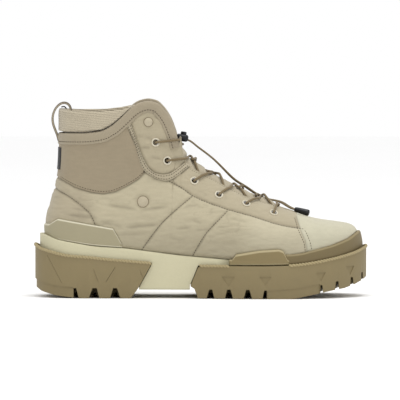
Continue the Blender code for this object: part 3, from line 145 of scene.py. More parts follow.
CUFF_TOP = (
    (-43.5, 95.4), (-36.0, 94.4), (-30.5, 94.4), (-25.0, 95.2), (-20.0, 96.6), (-14.0, 96.6),
)
RIDGE = (
    (-10.4, 87.0), (-9.2, 81.6), (-7.6, 77.8), (-5.9, 75.8), (-4.3, 72.4),
    (-1.3, 67.6), (1.0, 64.9), (5.4, 60.4), (10.3, 56.2), (14.7, 52.5),
    (19.6, 49.6), (22.5, 47.0), (24.6, 43.0), (27.0, 39.4), (29.6, 38.0),
)
# Lug gaps: foot from, foot to, head from, head to, height of the head
HEEL_GROOVES = (
    (-38.3, -36.7, -38.3, -37.5, 5.1),
    (-33.7, -30.5, -32.6, -31.3, 5.1),
    (-27.3, -24.2, -26.4, -25.2, 5.1),
)
FORE_GROOVES = (
    (1.7, 4.1, 2.5, 3.4, 4.6),
    (7.2, 9.7, 7.9, 8.9, 4.6),
    (12.8, 15.4, 13.6, 14.6, 4.6),
    (18.5, 19.8, 19.0, 19.8, 4.3),
    (35.8, 36.9, 35.9, 36.5, 6.9),
    (40.1, 41.8, 40.6, 41.4, 8.5),
    (44.8, 46.3, 45.1, 45.8, 10.3),
    (48.1, 49.1, 48.4, 48.8, 12.4),
)
HEEL_TREAD = ((-37.5, -35.0), (-32.1, -29.6), (-25.8, -23.3))
FORE_TREAD = (
    (2.9, 5.4), (8.4, 10.9), (14.1, 16.6), (19.2, 21.7), (24.6, 27.1),
    (30.2, 32.7), (36.3, 38.5), (41.0, 42.7),
)
HEEL_STEP = ((-50.0, 9.2), (-46.2, 7.0), (-42.7, 6.0), (-38.3, 5.5))
FORE_STEP = ((19.8, 4.0), (27.5, 5.1), (30.0, 5.5), (35.8, 7.4))
# Wedges sunk in the forefoot's side: middle, half width, top, point
WEDGES = (
    (8.25, 2.0, 11.2, 6.2),
    (19.4, 1.8, 11.2, 6.8),
    (36.1, 1.4, 13.2, 8.7),
    (44.9, 1.3, 16.0, 11.2),
)
# Fine lines moulded in the heel's side, in millimetres: x, z at each end
HEEL_LINES = (
    (-142.5, 39.5, -129.0, 14.0),
    (-99.5, 27.0, -95.0, 15.0),
    (-79.5, 28.5, -88.0, 15.0),
    (-56.5, 26.0, -52.5, 16.5),
)
COUNTER = ((-60.0, 36.9), (-45.1, 37.1), (-42.7, 39.9), (-26.4, 35.2), (-23.2, 25.4))
RAND = (
    (26.9, 16.0), (27.15, 22.5), (29.9, 23.0), (34.5, 24.8), (39.2, 26.8), (43.8, 29.7), (46.9, 32.8), (60.0, 34.0),
)
WING = ((8.4, 17.2), (10.6, 22.6), (17.7, 24.5), (23.3, 25.1), (24.7, 24.3), (26.85, 17.2))

# The last: feather place, then along, out and up of four points above the feather edge
RIBS = (
    (0.000, -46.4, 0.0, 38.2, -44.3, 0.0, 53.5, -42.8, 0.0, 68.3, -42.7, 0.0, 101.6),
    (0.034, -43.3, 54.0, 38.2, -41.2, 51.0, 53.5, -39.8, 50.0, 69.4, -39.3, 51.0, 101.6),
    (0.127, -34.7, 70.2, 37.2, -33.4, 66.3, 53.0, -31.5, 67.3, 71.0, -30.2, 69.2, 101.6),
    (0.240, -24.3, 71.2, 36.1, -23.0, 69.2, 53.0, -20.8, 72.1, 72.7, -18.2, 73.1, 101.6),
    (0.342, -14.6, 71.2, 33.9, -13.6, 70.2, 50.8, -11.7, 67.3, 71.0, -7.2, 60.0, 101.6),
    (0.435, -6.2, 76.0, 31.7, -6.5, 74.0, 45.9, -6.5, 65.0, 60.7, -5.5, 50.0, 73.5),
    (0.538, 3.2, 84.6, 30.1, 2.0, 79.8, 42.1, 1.0, 65.0, 54.1, 0.6, 43.0, 62.8),
    (0.651, 14.6, 96.2, 28.4, 14.0, 88.5, 37.2, 13.3, 66.0, 46.4, 12.3, 38.0, 51.9),
    (0.753, 24.7, 102.0, 27.9, 24.0, 91.3, 35.5, 23.0, 62.0, 42.6, 21.4, 29.0, 46.7),
    (0.873, 35.7, 91.3, 30.1, 34.4, 78.8, 36.3, 31.2, 48.0, 40.2, 24.7, 16.3, 44.2),
    (0.959, 43.5, 62.5, 32.0, 40.6, 52.0, 36.6, 34.4, 27.0, 38.8, 25.7, 7.0, 43.7),
    (1.000, 46.85, 0.0, 33.2, 43.8, 0.0, 36.6, 36.4, 0.0, 38.3, 26.0, 0.0, 43.2),
)
EYELETS = ((-13.6, 78.8), (-10.1, 69.5), (-2.0, 59.2), (5.4, 52.2), (13.6, 47.7), (21.9, 43.0))
MEDIAL_EYELETS = ((-12.4, 77.6), (-8.8, 67.6), (0.2, 57.0), (7.7, 50.8), (15.8, 46.3), (23.2, 41.9))
# Each pair of strands: where it crosses the throat's edge and the tongue's middle, and how far behind the second does
CROSSINGS = (
    (-7.2, -6.0, 0.3), (-4.3, -2.1, 1.2), (1.6, 5.2, 2.0), (9.8, 11.9, 2.0), (17.1, 18.6, 2.0), (22.6, 23.2, 0.0),
)
# Snaps: name, along, up, radius in metres
SNAPS = (("high", -15.8, 89.1, 0.0041), ("low", -17.4, 48.8, 0.0051))
LABEL_UP = (64.5, 75.8)
LOOP_ROUTE = (
    (-42.9, 79.0), (-43.4, 82.0), (-44.1, 85.0), (-44.7, 88.6), (-44.5, 92.8), (-43.3, 96.4),
    (-41.9, 98.0), (-40.6, 98.0), (-39.6, 96.6), (-39.2, 93.6), (-39.4, 89.0), (-39.3, 84.0), (-39.3, 80.0),
)
TAB_ROUTE = ((-42.1, 96.0), (-41.2, 96.2), (-40.6, 95.2))
LOCK_CENTRE = Vector((-0.0172, 0.0, 0.1472))
LOCK_WAY = Vector((0.97, 0.0, -0.15))
TAIL_APART = 0.0023
TAIL_ROUTE = (
    (-0.0108, 0.000, 0.1446), (-0.0045, 0.000, 0.1400), (0.0011, 0.001, 0.1357), (0.0122, 0.002, 0.1269),
    (0.0234, 0.004, 0.1157), (0.0330, 0.008, 0.1068), (0.0400, 0.0125, 0.1022), (0.0470, 0.019, 0.0972),
    (0.0540, 0.023, 0.0927), (0.0620, 0.025, 0.0892), (0.0695, 0.0225, 0.0878), (0.0765, 0.0155, 0.0857),
    (0.0815, 0.0098, 0.0828), (0.0858, 0.0072, 0.0808),
)
END_CAP_FROM = Vector((0.0872, 0.006, 0.0804))
END_CAP_TO = Vector((0.1008, 0.003, 0.0768))

# Seams as a side view shows them, in millimetres
TAPE_FRONT = (
    (-65.2, 162.0), (-60.2, 147.8), (-54.5, 131.4), (-49.6, 122.2), (-43.8, 116.5),
    (-35.4, 114.4), (-29.0, 115.4), (-22.6, 119.3), (-15.4, 125.1),
)
TAPE_BACK = (
    (-68.8, 159.5), (-61.0, 142.1), (-51.8, 117.2), (-43.2, 111.5),
    (-31.1, 108.7), (-25.3, 110.8), (-18.3, 115.8), (-10.6, 121.9),
)
PANEL_LOW = (
    (-150.0, 119.0), (-139.0, 114.5), (-130.1, 110.1), (-116.2, 102.6), (-102.3, 98.3),
    (-90.5, 96.7), (-78.8, 98.9), (-67.1, 104.7), (-58.5, 110.1), (-51.5, 116.8),
)
PANEL_TOP = (
    (-150.0, 147.0), (-130.3, 146.5), (-112.2, 146.5), (-96.2, 148.0), (-85.5, 151.5), (-74.8, 158.0),
    (-70.0, 163.0), (-68.6, 159.0), (-61.0, 142.1), (-51.8, 117.2),
)
HEEL_SEAM = ((-140.0, 103.0), (-132.8, 99.3), (-121.5, 93.3), (-110.8, 85.5), (-102.6, 77.9), (-97.4, 66.0))
EYESTAY_SEAM = (
    (-33.0, 110.0), (-28.7, 108.0), (-16.9, 101.6), (-7.8, 95.1), (8.2, 88.3), (23.8, 82.8),
    (38.7, 79.0), (55.4, 74.0), (71.1, 69.0), (84.4, 66.1), (95.9, 64.1),
)
FLAP_LOW = TAPE_FRONT[:4] + ((-43.8, 115.0), (-36.0, 111.5)) + EYESTAY_SEAM[1:]
BACK_QUILT_SEAM = ((-7.3, 95.1), (-23.3, 81.7), (-35.9, 69.8), (-54.0, 45.7), (-58.0, 40.0))
FRONT_QUILT_SEAM = ((25.4, 81.9), (15.5, 72.0), (5.5, 61.2), (-6.9, 40.4), (-9.0, 36.0))
QUARTER_FRONT = ((88.5, 74.0), (91.0, 66.5), (94.0, 58.5), (96.3, 54.0), (98.2, 44.0), (99.0, 38.0))
VAMP_ROW = ((95.9, 64.1), (100.9, 52.9), (103.2, 42.0))
# Folds in the quilted cloth: x, z at each end, half width, depth, all in millimetres
FOLDS = (
    (-42.8, 173.7, -35.3, 170.9, 1.3, 1.1),
    (-38.9, 170.4, -33.9, 166.8, 1.2, 1.0),
    (-44.0, 169.0, -36.0, 165.0, 1.6, 0.5),
    (-55.5, 139.9, -46.4, 138.9, 1.6, 0.7),
    (-52.5, 149.0, -45.0, 147.2, 1.5, 0.6),
    (-46.5, 130.0, -36.5, 128.9, 1.5, 0.6),
    (-60.0, 150.5, -52.0, 148.5, 1.8, 0.4),
    (-86.7, 86.2, -58.5, 81.9, 1.8, 0.9),
    (-57.0, 80.9, -29.2, 85.1, 1.9, 0.8),
    (-95.0, 92.5, -70.0, 90.0, 1.6, 0.4),
    (-125.0, 77.0, -95.7, 73.6, 1.9, 0.8),
    (-119.0, 82.5, -101.0, 80.0, 1.5, 0.5),
    (-94.0, 71.5, -72.0, 64.8, 1.8, 0.6),
    (-71.0, 65.2, -37.2, 68.3, 1.8, 0.9),
    (-80.0, 58.0, -50.0, 60.0, 1.7, 0.4),
    (-104.0, 66.0, -80.0, 70.0, 1.6, 0.5),
    (-17.0, 83.5, -0.8, 86.7, 1.5, 0.6),
    (-9.2, 72.5, 1.0, 69.5, 1.5, 0.6),
    (-16.0, 70.0, 2.0, 75.5, 1.7, 0.4),
    (-5.9, 62.9, 8.0, 64.3, 1.5, 0.5),
    (-24.0, 64.0, -8.0, 66.0, 1.5, 0.5),
    (-30.0, 56.0, -14.0, 54.0, 1.6, 0.4),
    (25.0, 74.5, 44.0, 70.0, 1.8, 0.4),
    (30.0, 62.0, 58.0, 56.0, 1.8, 0.3),
    (12.0, 52.0, 36.0, 50.5, 1.8, 0.3),
)
# Stretches of cloth pulled in to each eyelet: x, z at the far end, in millimetres from the eyelet
PULLS = ((-9.5, 1.8), (-7.5, -4.5), (-1.5, -8.0))


class Spline:
    """A smooth cubic curve through values at knots, kept as the rows that weigh them."""

    def __init__(self, knots, closed=False):
        self.knots = np.asarray(knots, float)
        self.count = len(self.knots) - 1 if closed else len(self.knots)
        gap = np.diff(self.knots)
        system = np.zeros((self.count, self.count))
        right = np.zeros((self.count, self.count))
        for i in range(self.count):
            if not closed and i in (0, self.count - 1):
                system[i, i] = 1
                continue
            before, after = gap[i - 1], gap[i]
            left, ahead = (i - 1) % self.count, (i + 1) % self.count
            system[i, left] += before
            system[i, i] += 2 * (before + after)
            system[i, ahead] += after
            right[i, left] += 6 / before
            right[i, i] -= 6 / before + 6 / after
            right[i, ahead] += 6 / after
        self.gap = gap
        self.bend = np.linalg.solve(system, right)

    def weights(self, t):
        i = np.clip(np.searchsorted(self.knots, t, side="right") - 1, 0, len(self.gap) - 1)
        h = self.gap[i]
        b = (t - self.knots[i]) / h
        a = 1 - b
        unit = np.eye(self.count)
        rows = a[:, None] * unit[i] + b[:, None] * unit[(i + 1) % self.count]
        rows += ((a**3 - a) * h * h / 6)[:, None] * self.bend[i]
        rows += ((b**3 - b) * h * h / 6)[:, None] * self.bend[(i + 1) % self.count]
        return rows


def run_along(points):
    """How far along a line of points each of them lies."""
    return np.concatenate([[0], np.cumsum(np.linalg.norm(np.diff(points, axis=0), axis=1))])


def rows_at(places, run, rows):
    """Rows between those of a line, at places along its run."""
    return np.stack([np.interp(places, run, column) for column in rows.T], axis=-1)


def smooth_route(route, count):
    """Evenly spaced points along a smooth curve through the points of a route."""
    route = np.array(route, float)
    knots = run_along(route)
    return Spline(knots).weights(np.linspace(0, knots[-1], count)) @ route


def monotone(table, x, scale_x=ALONG, scale_y=UP):
    """A smooth curve through a side table that adds no bump of its own."""
    xs = np.array([row[0] for row in table], float) * scale_x
    ys = np.array([row[1] for row in table], float) * scale_y
    x = np.clip(np.asarray(x, float), xs[0], xs[-1])
    step = np.diff(xs)
    slope = np.diff(ys) / step
    tangent = np.concatenate([slope[:1], slope[:-1] * 0, slope[-1:]])
    turning = slope[:-1] * slope[1:] > 0
    mean = 2 * slope[:-1] * slope[1:] / np.where(turning, slope[:-1] + slope[1:], 1)
    tangent[1:-1] = np.where(turning, mean, 0)
    i = np.clip(np.searchsorted(xs, x, side="right") - 1, 0, len(step) - 1)
    t = (x - xs[i]) / step[i]
    rise = (3 - 2 * t) * t * t
    bend = t * (1 - t) * step[i]
    return ys[i] + (ys[i + 1] - ys[i]) * rise + bend * ((1 - t) * tangent[i] - t * tangent[i + 1])


def straight(table, x, scale_x=ALONG, scale_y=UP):
    return np.interp(x, [row[0] * scale_x for row in table], [row[1] * scale_y for row in table])


def plan_half(x, back, front, set_in):
    half = monotone([row[:2] for row in PLAN], x, ALONG, 1) - set_in
    heel = np.clip((HEEL_ROUND_FROM - x) / (HEEL_ROUND_FROM - back), 0, 1)
    toe = np.clip((x - TOE_ROUND_FROM) / (front - TOE_ROUND_FROM), 0, 1)
    return half * (1 - np.maximum(heel, toe) ** ROUNDNESS) ** (1 / ROUNDNESS)


def raw_shift(x):
    return monotone([(row[0], row[2]) for row in PLAN], x, ALONG, 1)


SOLE_BACK = -SOLE_LENGTH / 2
SOLE_FRONT = SOLE_LENGTH / 2
SAMPLES = np.linspace(SOLE_BACK, SOLE_FRONT, 400)
SAMPLE_HALF = plan_half(SAMPLES, SOLE_BACK, SOLE_FRONT, 0)
CENTRING = 0.5 * (np.max(raw_shift(SAMPLES) + SAMPLE_HALF) + np.min(raw_shift(SAMPLES) - SAMPLE_HALF))
UPPER_BACK = SOLE_BACK + UPPER_BACK_SET_IN
UPPER_FRONT = SOLE_FRONT - UPPER_TOE_SET_IN
MIDSOLE_BACK = SOLE_BACK + MIDSOLE_BACK_SET_IN


def shift(x):
    return raw_shift(x) - CENTRING


def fore_top_height(x):
    return np.where(np.asarray(x) < FORE_TOP[1][0] * ALONG, straight(FORE_TOP, x), monotone(FORE_TOP[1:], x))


def heel_top_height(x):
    return monotone(HEEL_TOP, x)


def rib_points(rib, side):
    x = UPPER_BACK + rib[0] * (UPPER_FRONT - UPPER_BACK)
    rows = [(x, plan_half(x, UPPER_BACK, UPPER_FRONT, UPPER_SIDE_SET_IN), monotone(MIDSOLE_EDGE, x) + FIT)]
    rows += [(rib[k] * ALONG, rib[k + 1] * ACROSS, rib[k + 2] * UP) for k in (1, 4, 7, 10)]
    fade = np.clip(1 - (np.array([r[2] for r in rows]) / UP - 40) / 45, 0, 1)
    return [(x, side * y + f * shift(x), z) for (x, y, z), f in zip(rows, fade)]


def last_net():
    net = np.array([rib_points(rib, -1) for rib in RIBS] + [rib_points(rib, 1) for rib in RIBS[-2:0:-1]])
    closed = np.concatenate([net, net[:1]])
    around = np.linalg.norm(np.diff(closed, axis=0), axis=2).mean(axis=1)
    upward = np.linalg.norm(np.diff(net, axis=1), axis=2).mean(axis=0)
    return (
        net,
        np.concatenate([[0], np.cumsum(around)]) / around.sum(),
        np.concatenate([[0], np.cumsum(upward)]) / upward.sum(),
    )


NET, AROUND, UPWARD = last_net()
ROUND_THE_LAST = Spline(AROUND, True)
UP_THE_LAST = Spline(UPWARD)
SKIRT = 0.110
ROUND_LENGTH = 0.640


def last_point(u, v):
    """The outer face of the upper: u round from the heel by the lateral side, v up from the sole."""
    u, v = np.broadcast_arrays(np.asarray(u, float) % 1, np.asarray(v, float))
    shape = u.shape
    u, v = u.ravel(), v.ravel()
    across = ROUND_THE_LAST.weights(u)
    up = UP_THE_LAST.weights(np.maximum(v, 0))
    rows = np.einsum("nj,ijk->nik", up, NET)
    points = np.einsum("ni,nik->nk", across, rows)
    points[:, 2] += np.minimum(v, 0) * SKIRT
    return points.reshape(*shape, 3)


def last_normal(u, v, step=1e-4):
    u, v = np.broadcast_arrays(np.asarray(u, float), np.asarray(v, float))
    along = last_point(u + step, v) - last_point(u - step, v)
    upward = last_point(u, v + step) - last_point(u, np.minimum(v, 1) - step)
    normal = np.cross(along, upward)
    return normal / np.linalg.norm(normal, axis=-1, keepdims=True)


def off_last(u, v, height):
    return last_point(u, v) + np.asarray(height)[..., None] * last_normal(u, v)


def level_at(u, height_at, low=0.0, high=1.0):
    """How far up each column meets the line height_at(x), and 1 where it never does."""
    u = np.asarray(u, float)
    low = np.full(u.shape, low)
    high = np.full(u.shape, high)
    top = high.copy()
    last = last_point(u, top)
    meets = last[..., 2] > height_at(last[..., 0])
    for _ in range(36):
        middle = (low + high) / 2
        points = last_point(u, middle)
        above = points[..., 2] > height_at(points[..., 0])
        high = np.where(above, middle, high)
        low = np.where(above, low, middle)
    return np.where(meets, high, top)


def trim(u):
    """The upper's top edge: the top line round the collar, the throat's edge ahead of it."""
    level = level_at(u, lambda x: monotone(TOP_LINE, x) - BINDING_THICKNESS - 2 * FIT, 0.3)
    top = last_point(u, np.ones(np.shape(u)))
    return np.where(top[..., 0] < TOP_LINE[-1][0] * ALONG, level, 1.0)


GRID_U, GRID_V = (g.ravel() for g in np.meshgrid(np.linspace(0, 0.5, 161), np.linspace(0, 1, 81), indexing="ij"))
GRID_XZ = last_point(GRID_U, GRID_V)[:, [0, 2]]


def locate(points):
    """Places on the lateral side of what a side view shows at each x, z in metres."""
    points = np.atleast_2d(np.asarray(points, float))
    nearest = [np.argmin(((GRID_XZ - p) ** 2).sum(axis=1)) for p in points]
    place = np.stack([GRID_U[nearest], GRID_V[nearest]], axis=1)
    for _ in range(12):
        u, v = place.T
        here = last_point(u, v)[:, [0, 2]]
        by_u = (last_point(u + 1e-4, v)[:, [0, 2]] - here) / 1e-4
        by_v = (here - last_point(u, v - 1e-4)[:, [0, 2]]) / 1e-4
        slope = np.stack([by_u, by_v], axis=2)
        square = np.einsum("nki,nkj->nij", slope, slope) + 1e-6 * np.eye(2)
        pull = np.einsum("nki,nk->ni", slope, points - here)
        place = place + np.clip(np.linalg.solve(square, pull[..., None])[..., 0], -0.03, 0.03)
        place[:, 0] = np.clip(place[:, 0], 0, 0.5)
        place[:, 1] = np.clip(place[:, 1], -0.1, 1)
    return place


def mirrored(place):
    return np.stack([1 - place[..., 0], place[..., 1]], axis=-1)


def distance(points, route):
    """How far each x, z lies from a route of straight stretches, and how far along it."""
    best = np.full(len(points), 1e9)
    along = np.zeros(len(points))
    run = 0.0
    for a, b in zip(route[:-1], route[1:]):
        way = b - a
        length = np.linalg.norm(way)
        t = np.clip(((points - a) @ way) / length**2, 0, 1)
        gap = np.linalg.norm(points - a - t[:, None] * way, axis=1)
        along = np.where(gap < best, run + t * length, along)
        best = np.minimum(best, gap)
        run += length
    return best, along


def ripples(points, size_x, size_z, seed):
    """Smooth noise from -1 to 1 over x, z, from a seeded lattice of values."""
    lattice = np.random.default_rng(seed).uniform(-1, 1, (128, 256))
    x = points[:, 0] / size_x + 40
    z = points[:, 1] / size_z + 60
    i, j = np.floor(x).astype(int), np.floor(z).astype(int)
    s, t = x - i, z - j
    s, t = s * s * (3 - 2 * s), t * t * (3 - 2 * t)
    corner = [[lattice[(i + a) % 128, (j + b) % 256] for b in (0, 1)] for a in (0, 1)]
    low = corner[0][0] * (1 - s) + corner[1][0] * s
    high = corner[0][1] * (1 - s) + corner[1][1] * s
    return low * (1 - t) + high * t


def blend_in(value, start, end):
    t = np.clip((value - start) / (end - start), 0, 1)
    return t * t * (3 - 2 * t)


# Form of the quilted shell
SEAM_TABLES = (HEEL_SEAM, EYESTAY_SEAM, BACK_QUILT_SEAM, FRONT_QUILT_SEAM, PANEL_LOW, TAPE_BACK, TAPE_FRONT)
SEAMS = [np.array(table) * MM for table in SEAM_TABLES]
FRONT_EDGE = np.array(QUARTER_FRONT) * MM
VAMP_SEAM = np.array(VAMP_ROW) * MM
PUFF, PUFF_REACH = 1.5 * MM, 7 * MM
TOE_PUFF, TOE_PUFF_REACH = 0.9 * MM, 9 * MM
SEAM_DIP, SEAM_HALF, SEAM_SHADE_HALF = 1.0 * MM, 1.3 * MM, 0.9 * MM
VAMP_DIP, VAMP_DIP_HALF = 0.4 * MM, 1.2 * MM
QUARTER_STEP, QUARTER_STEP_REACH = 0.9 * MM, 12 * MM
PULL_DEPTH, PULL_HALF, PULL_FROM = 0.35 * MM, 1.2 * MM, 4 * MM
EYELET_SEAT, EYELET_SEAT_FROM, EYELET_SEAT_TO = 0.35 * MM, 4.2 * MM, 7.0 * MM
SNAP_SEAT = 0.3 * MM
EDGE_ROW_IN, EDGE_ROW_DIP, EDGE_ROW_HALF, EDGE_ROW_SHADE_HALF = 3.4 * MM, 0.5 * MM, 0.8 * MM, 0.7 * MM
# Crinkles of the cloth: depth, size along and size up in millimetres, and seed
CRINKLES = ((0.34, 9.5, 2.7, 3), (0.20, 5.0, 1.7, 5), (0.22, 17.0, 6.5, 8))
CREASE_DEPTH = 0.42
CREASE_HALF = 0.16
EYELET_PLACES = locate([(a * ALONG, b * UP) for a, b in EYELETS])
MEDIAL_PLACES = mirrored(locate([(a * ALONG, b * UP) for a, b in MEDIAL_EYELETS]))
SNAP_PLACES = locate([(row[1] * ALONG, row[2] * UP) for row in SNAPS])
EYELET_XZ = {-1: last_point(*EYELET_PLACES.T)[:, [0, 2]], 1: last_point(*MEDIAL_PLACES.T)[:, [0, 2]]}
SNAP_XZ = last_point(*SNAP_PLACES.T)[:, [0, 2]]
TOP_RATE = np.linalg.norm(NET[:, -1] - NET[:, -2], axis=1).mean() / (UPWARD[-1] - UPWARD[-2])


def dip(gap, half):
    """1 on a line, fading to nothing within about two half widths of it."""
    return np.exp(-((gap / half) ** 2))


def under_overlays(points):
    """1 where an overlay or the midsole covers the shell, 0 well clear of them."""
    x, z = points[:, 0], points[:, 2]
    soft = 1.2 * MM
    cover = 1 - blend_in(z - monotone(MIDSOLE_EDGE, x), 0.5 * MM, 4 * MM)
    counter = np.where(x < COUNTER[-1][0] * ALONG, straight(COUNTER, x), -1)
    rand = np.where(x > RAND[0][0] * ALONG, straight(RAND, x), -1)
    wing = np.where((x > WING[0][0] * ALONG) & (x < WING[-1][0] * ALONG), straight(WING, x), -1)
    for top in (counter, rand, wing):
        cover = np.maximum(cover, 1 - blend_in(z - top, -soft, soft))
    return cover


def under_binding(x, z):
    """1 where the collar's binding covers the shell, 0 well below it."""
    slope = np.abs(monotone(TOP_LINE, x + 1 * MM) - monotone(TOP_LINE, x - 1 * MM)) / (2 * MM)
    throat = x > TOP_LINE[-1][0] * ALONG
    gap = np.where(throat, 1.0, monotone(TOP_LINE, x) - z) / np.sqrt(1 + slope**2)
    return 1 - blend_in(gap, BINDING_WIDTH - 1.5 * MM, BINDING_WIDTH + 3 * MM)


def zones(flat):
    """Shares of the shell's parts at x, z: toe, flaps and eyestay, ankle."""
    x, z = flat.T
    toe = blend_in(x - np.interp(z, FRONT_EDGE[::-1, 1], FRONT_EDGE[::-1, 0]), -0.4 * MM, 0.6 * MM)
    eyestay = np.interp(x, *np.array(FLAP_LOW).T * MM)
    tape = np.interp(x, *np.array(TAPE_BACK)[:7].T * MM, left=1)
    panel = np.interp(x, *np.array(PANEL_LOW).T * MM, right=1)
    ankle = blend_in(z - panel, -0.3 * MM, 0.3 * MM) * (1 - blend_in(z - tape, -0.3 * MM, 0.3 * MM))
    above = blend_in(z - eyestay, -0.4 * MM, 0.4 * MM)
    return toe, above * (1 - toe), ankle


def crinkles(flat):
    """Small waves of the cloth in millimetres, and the share of the sharp creases between them."""
    waves = sum(depth * ripples(flat, along * MM, up * MM, seed) for depth, along, up, seed in CRINKLES)
    creased = blend_in(ripples(flat, 22 * MM, 9 * MM, 32), 0.05, 0.5)
    crease = np.clip(1 - np.abs(ripples(flat, 15 * MM, 3.4 * MM, 31)) / CREASE_HALF, 0, 1) ** 1.5 * creased
    return waves - CREASE_DEPTH * crease, crease


def with_folds(flat, height, deep):
    """Height and painted shade with the drawn folds pressed in, each between two raised lips."""
    for start_x, start_z, end_x, end_z, half, depth in FOLDS:
        route = np.array([(start_x, start_z), (end_x, end_z)]) * MM
        away, along = distance(flat, route)
        length = np.linalg.norm(route[1] - route[0])
        ends = np.clip(np.minimum(along, length - along) / (0.3 * length), 0, 1) ** 0.7
        half = half * MM
        fold = dip(away, half) - 0.35 * dip(away - 2.3 * half, 1.2 * half)
        height = height - depth * MM * fold * ends
        deep = np.maximum(deep, 0.75 * depth * dip(away, 0.8 * half) * ends)
    return height, deep


def with_seats(flat, side, height):
    """Height with the cloth pulled in to each eyelet, and flat under eyelets and snaps."""
    for which, places in EYELET_XZ.items():
        here = side == which
        for place in places:
            for reach in PULLS:
                off, along = distance(flat, np.array([place, place + np.array(reach) * MM]))
                pull = dip(off, PULL_HALF) * np.clip((along - PULL_FROM) / (2 * MM), 0, 1)
                height = height - PULL_DEPTH * pull * here
            away = np.hypot(*(flat - place).T)
            flatten = (1 - blend_in(away, EYELET_SEAT_FROM, EYELET_SEAT_TO)) * here
            height = height + (EYELET_SEAT - height) * flatten
    for place, (_, _, _, radius) in zip(SNAP_XZ, SNAPS):
        away = np.hypot(*(flat - place).T)
        height = height + (SNAP_SEAT - height) * (1 - blend_in(away, radius + 0.3 * MM, radius + 3 * MM))
    return height


def relief(u, v):
    """Height of the quilted cloth over the last, the painted shade of its seams, creases and folds, and its parts."""
    u, v = np.broadcast_arrays(np.asarray(u, float) % 1, np.asarray(v, float))
    shape = u.shape
    u, v = u.ravel(), v.ravel()
    points = last_point(u, v)
    flat = points[:, [0, 2]]
    x, z = flat.T
    toe, above, ankle = zones(flat)
    front = blend_in(x, 28 * MM, 60 * MM) * (1 - toe)
    quilt = (1 - toe) * (1 - ankle) * (1 - 0.55 * front) * (1 - 0.35 * above)

    gap = np.min([distance(flat, seam)[0] for seam in SEAMS], axis=0)
    height = PUFF * quilt * (1 - np.exp(-gap / PUFF_REACH))
    height -= SEAM_DIP * dip(gap, SEAM_HALF) * (1 - toe)
    # deep: painted shade, a darker colour in seams, creases, folds and edge rows
    deep = 0.8 * dip(gap, SEAM_SHADE_HALF) * (1 - toe)

    edge_gap = distance(flat, FRONT_EDGE)[0]
    height += QUARTER_STEP * (1 - toe) * np.exp(-edge_gap / QUARTER_STEP_REACH)
    deep = np.maximum(deep, 0.9 * dip(edge_gap, SEAM_SHADE_HALF))
    row_gap = distance(flat, VAMP_SEAM)[0]
    height -= VAMP_DIP * dip(row_gap, VAMP_DIP_HALF) * toe
    height += TOE_PUFF * toe * (1 - np.exp(-np.minimum(edge_gap, row_gap) / TOE_PUFF_REACH))

    waves, crease = crinkles(flat)
    deep = np.maximum(deep, 0.35 * crease * quilt)
    height += waves * MM * (quilt * (1 - 0.2 * front) + 0.16 * toe + 0.08 * ankle)
    height, deep = with_folds(flat, height, deep)
    height = with_seats(flat, np.where(u < 0.5, -1, 1), height)

    from_top = (1 - v) * TOP_RATE
    throat = x > TOP_LINE[-1][0] * ALONG
    height -= EDGE_ROW_DIP * dip(from_top - EDGE_ROW_IN, EDGE_ROW_HALF) * throat
    deep = np.maximum(deep, 0.6 * dip(from_top - EDGE_ROW_IN, EDGE_ROW_SHADE_HALF) * throat)
    height *= 1 - throat * (1 - blend_in(from_top, 0, 2.0 * MM)) * 0.8
    cover = np.maximum(under_overlays(points), under_binding(x, z))
    height = height * (1 - cover) - 0.1 * MM * cover
    return tuple(a.reshape(shape) for a in (height, deep, toe, above, ankle, front))


def skin(places, lift=0.0):
    """Points on the quilted cloth and the ways out of it, at places on the last."""
    u, v = np.asarray(places).T
    height = relief(u, v)[0]
    return off_last(u, v, height + lift), last_normal(u, v)


TONE = 0.84


def srgb(red, green, blue):
    """A colour as the eye sees it under the studio's light."""
    shares = (red / 255, green / 255, blue / 255)
    return tuple(TONE * (c / 12.92 if c <= 0.04045 else ((c + 0.055) / 1.055) ** 2.4) for c in shares)


class Value:
    """A number in a finish's nodes, so that sums of them read as sums."""

    def __init__(self, finish, socket):
        self.finish = finish
        self.socket = socket

    def work(self, operation, first, second=None):
        inputs = {0: first} if second is None else {0: first, 1: second}
        node = self.finish.node("ShaderNodeMath", {"operation": operation}, inputs)
        return Value(self.finish, node.outputs[0])

    def __add__(self, other):
        return self.work("ADD", self, other)

    def __radd__(self, other):
        return self.work("ADD", other, self)

    def __sub__(self, other):
        return self.work("SUBTRACT", self, other)

    def __rsub__(self, other):
        return self.work("SUBTRACT", other, self)

    def __mul__(self, other):
        return self.work("MULTIPLY", self, other)

    def __rmul__(self, other):
        return self.work("MULTIPLY", other, self)

    def __truediv__(self, other):
        return self.work("DIVIDE", self, other)

    def __pow__(self, other):
        return self.work("POWER", self, other)

    def sine(self):
        return self.work("SINE", self)

    def size(self):
        return self.work("ABSOLUTE", self)

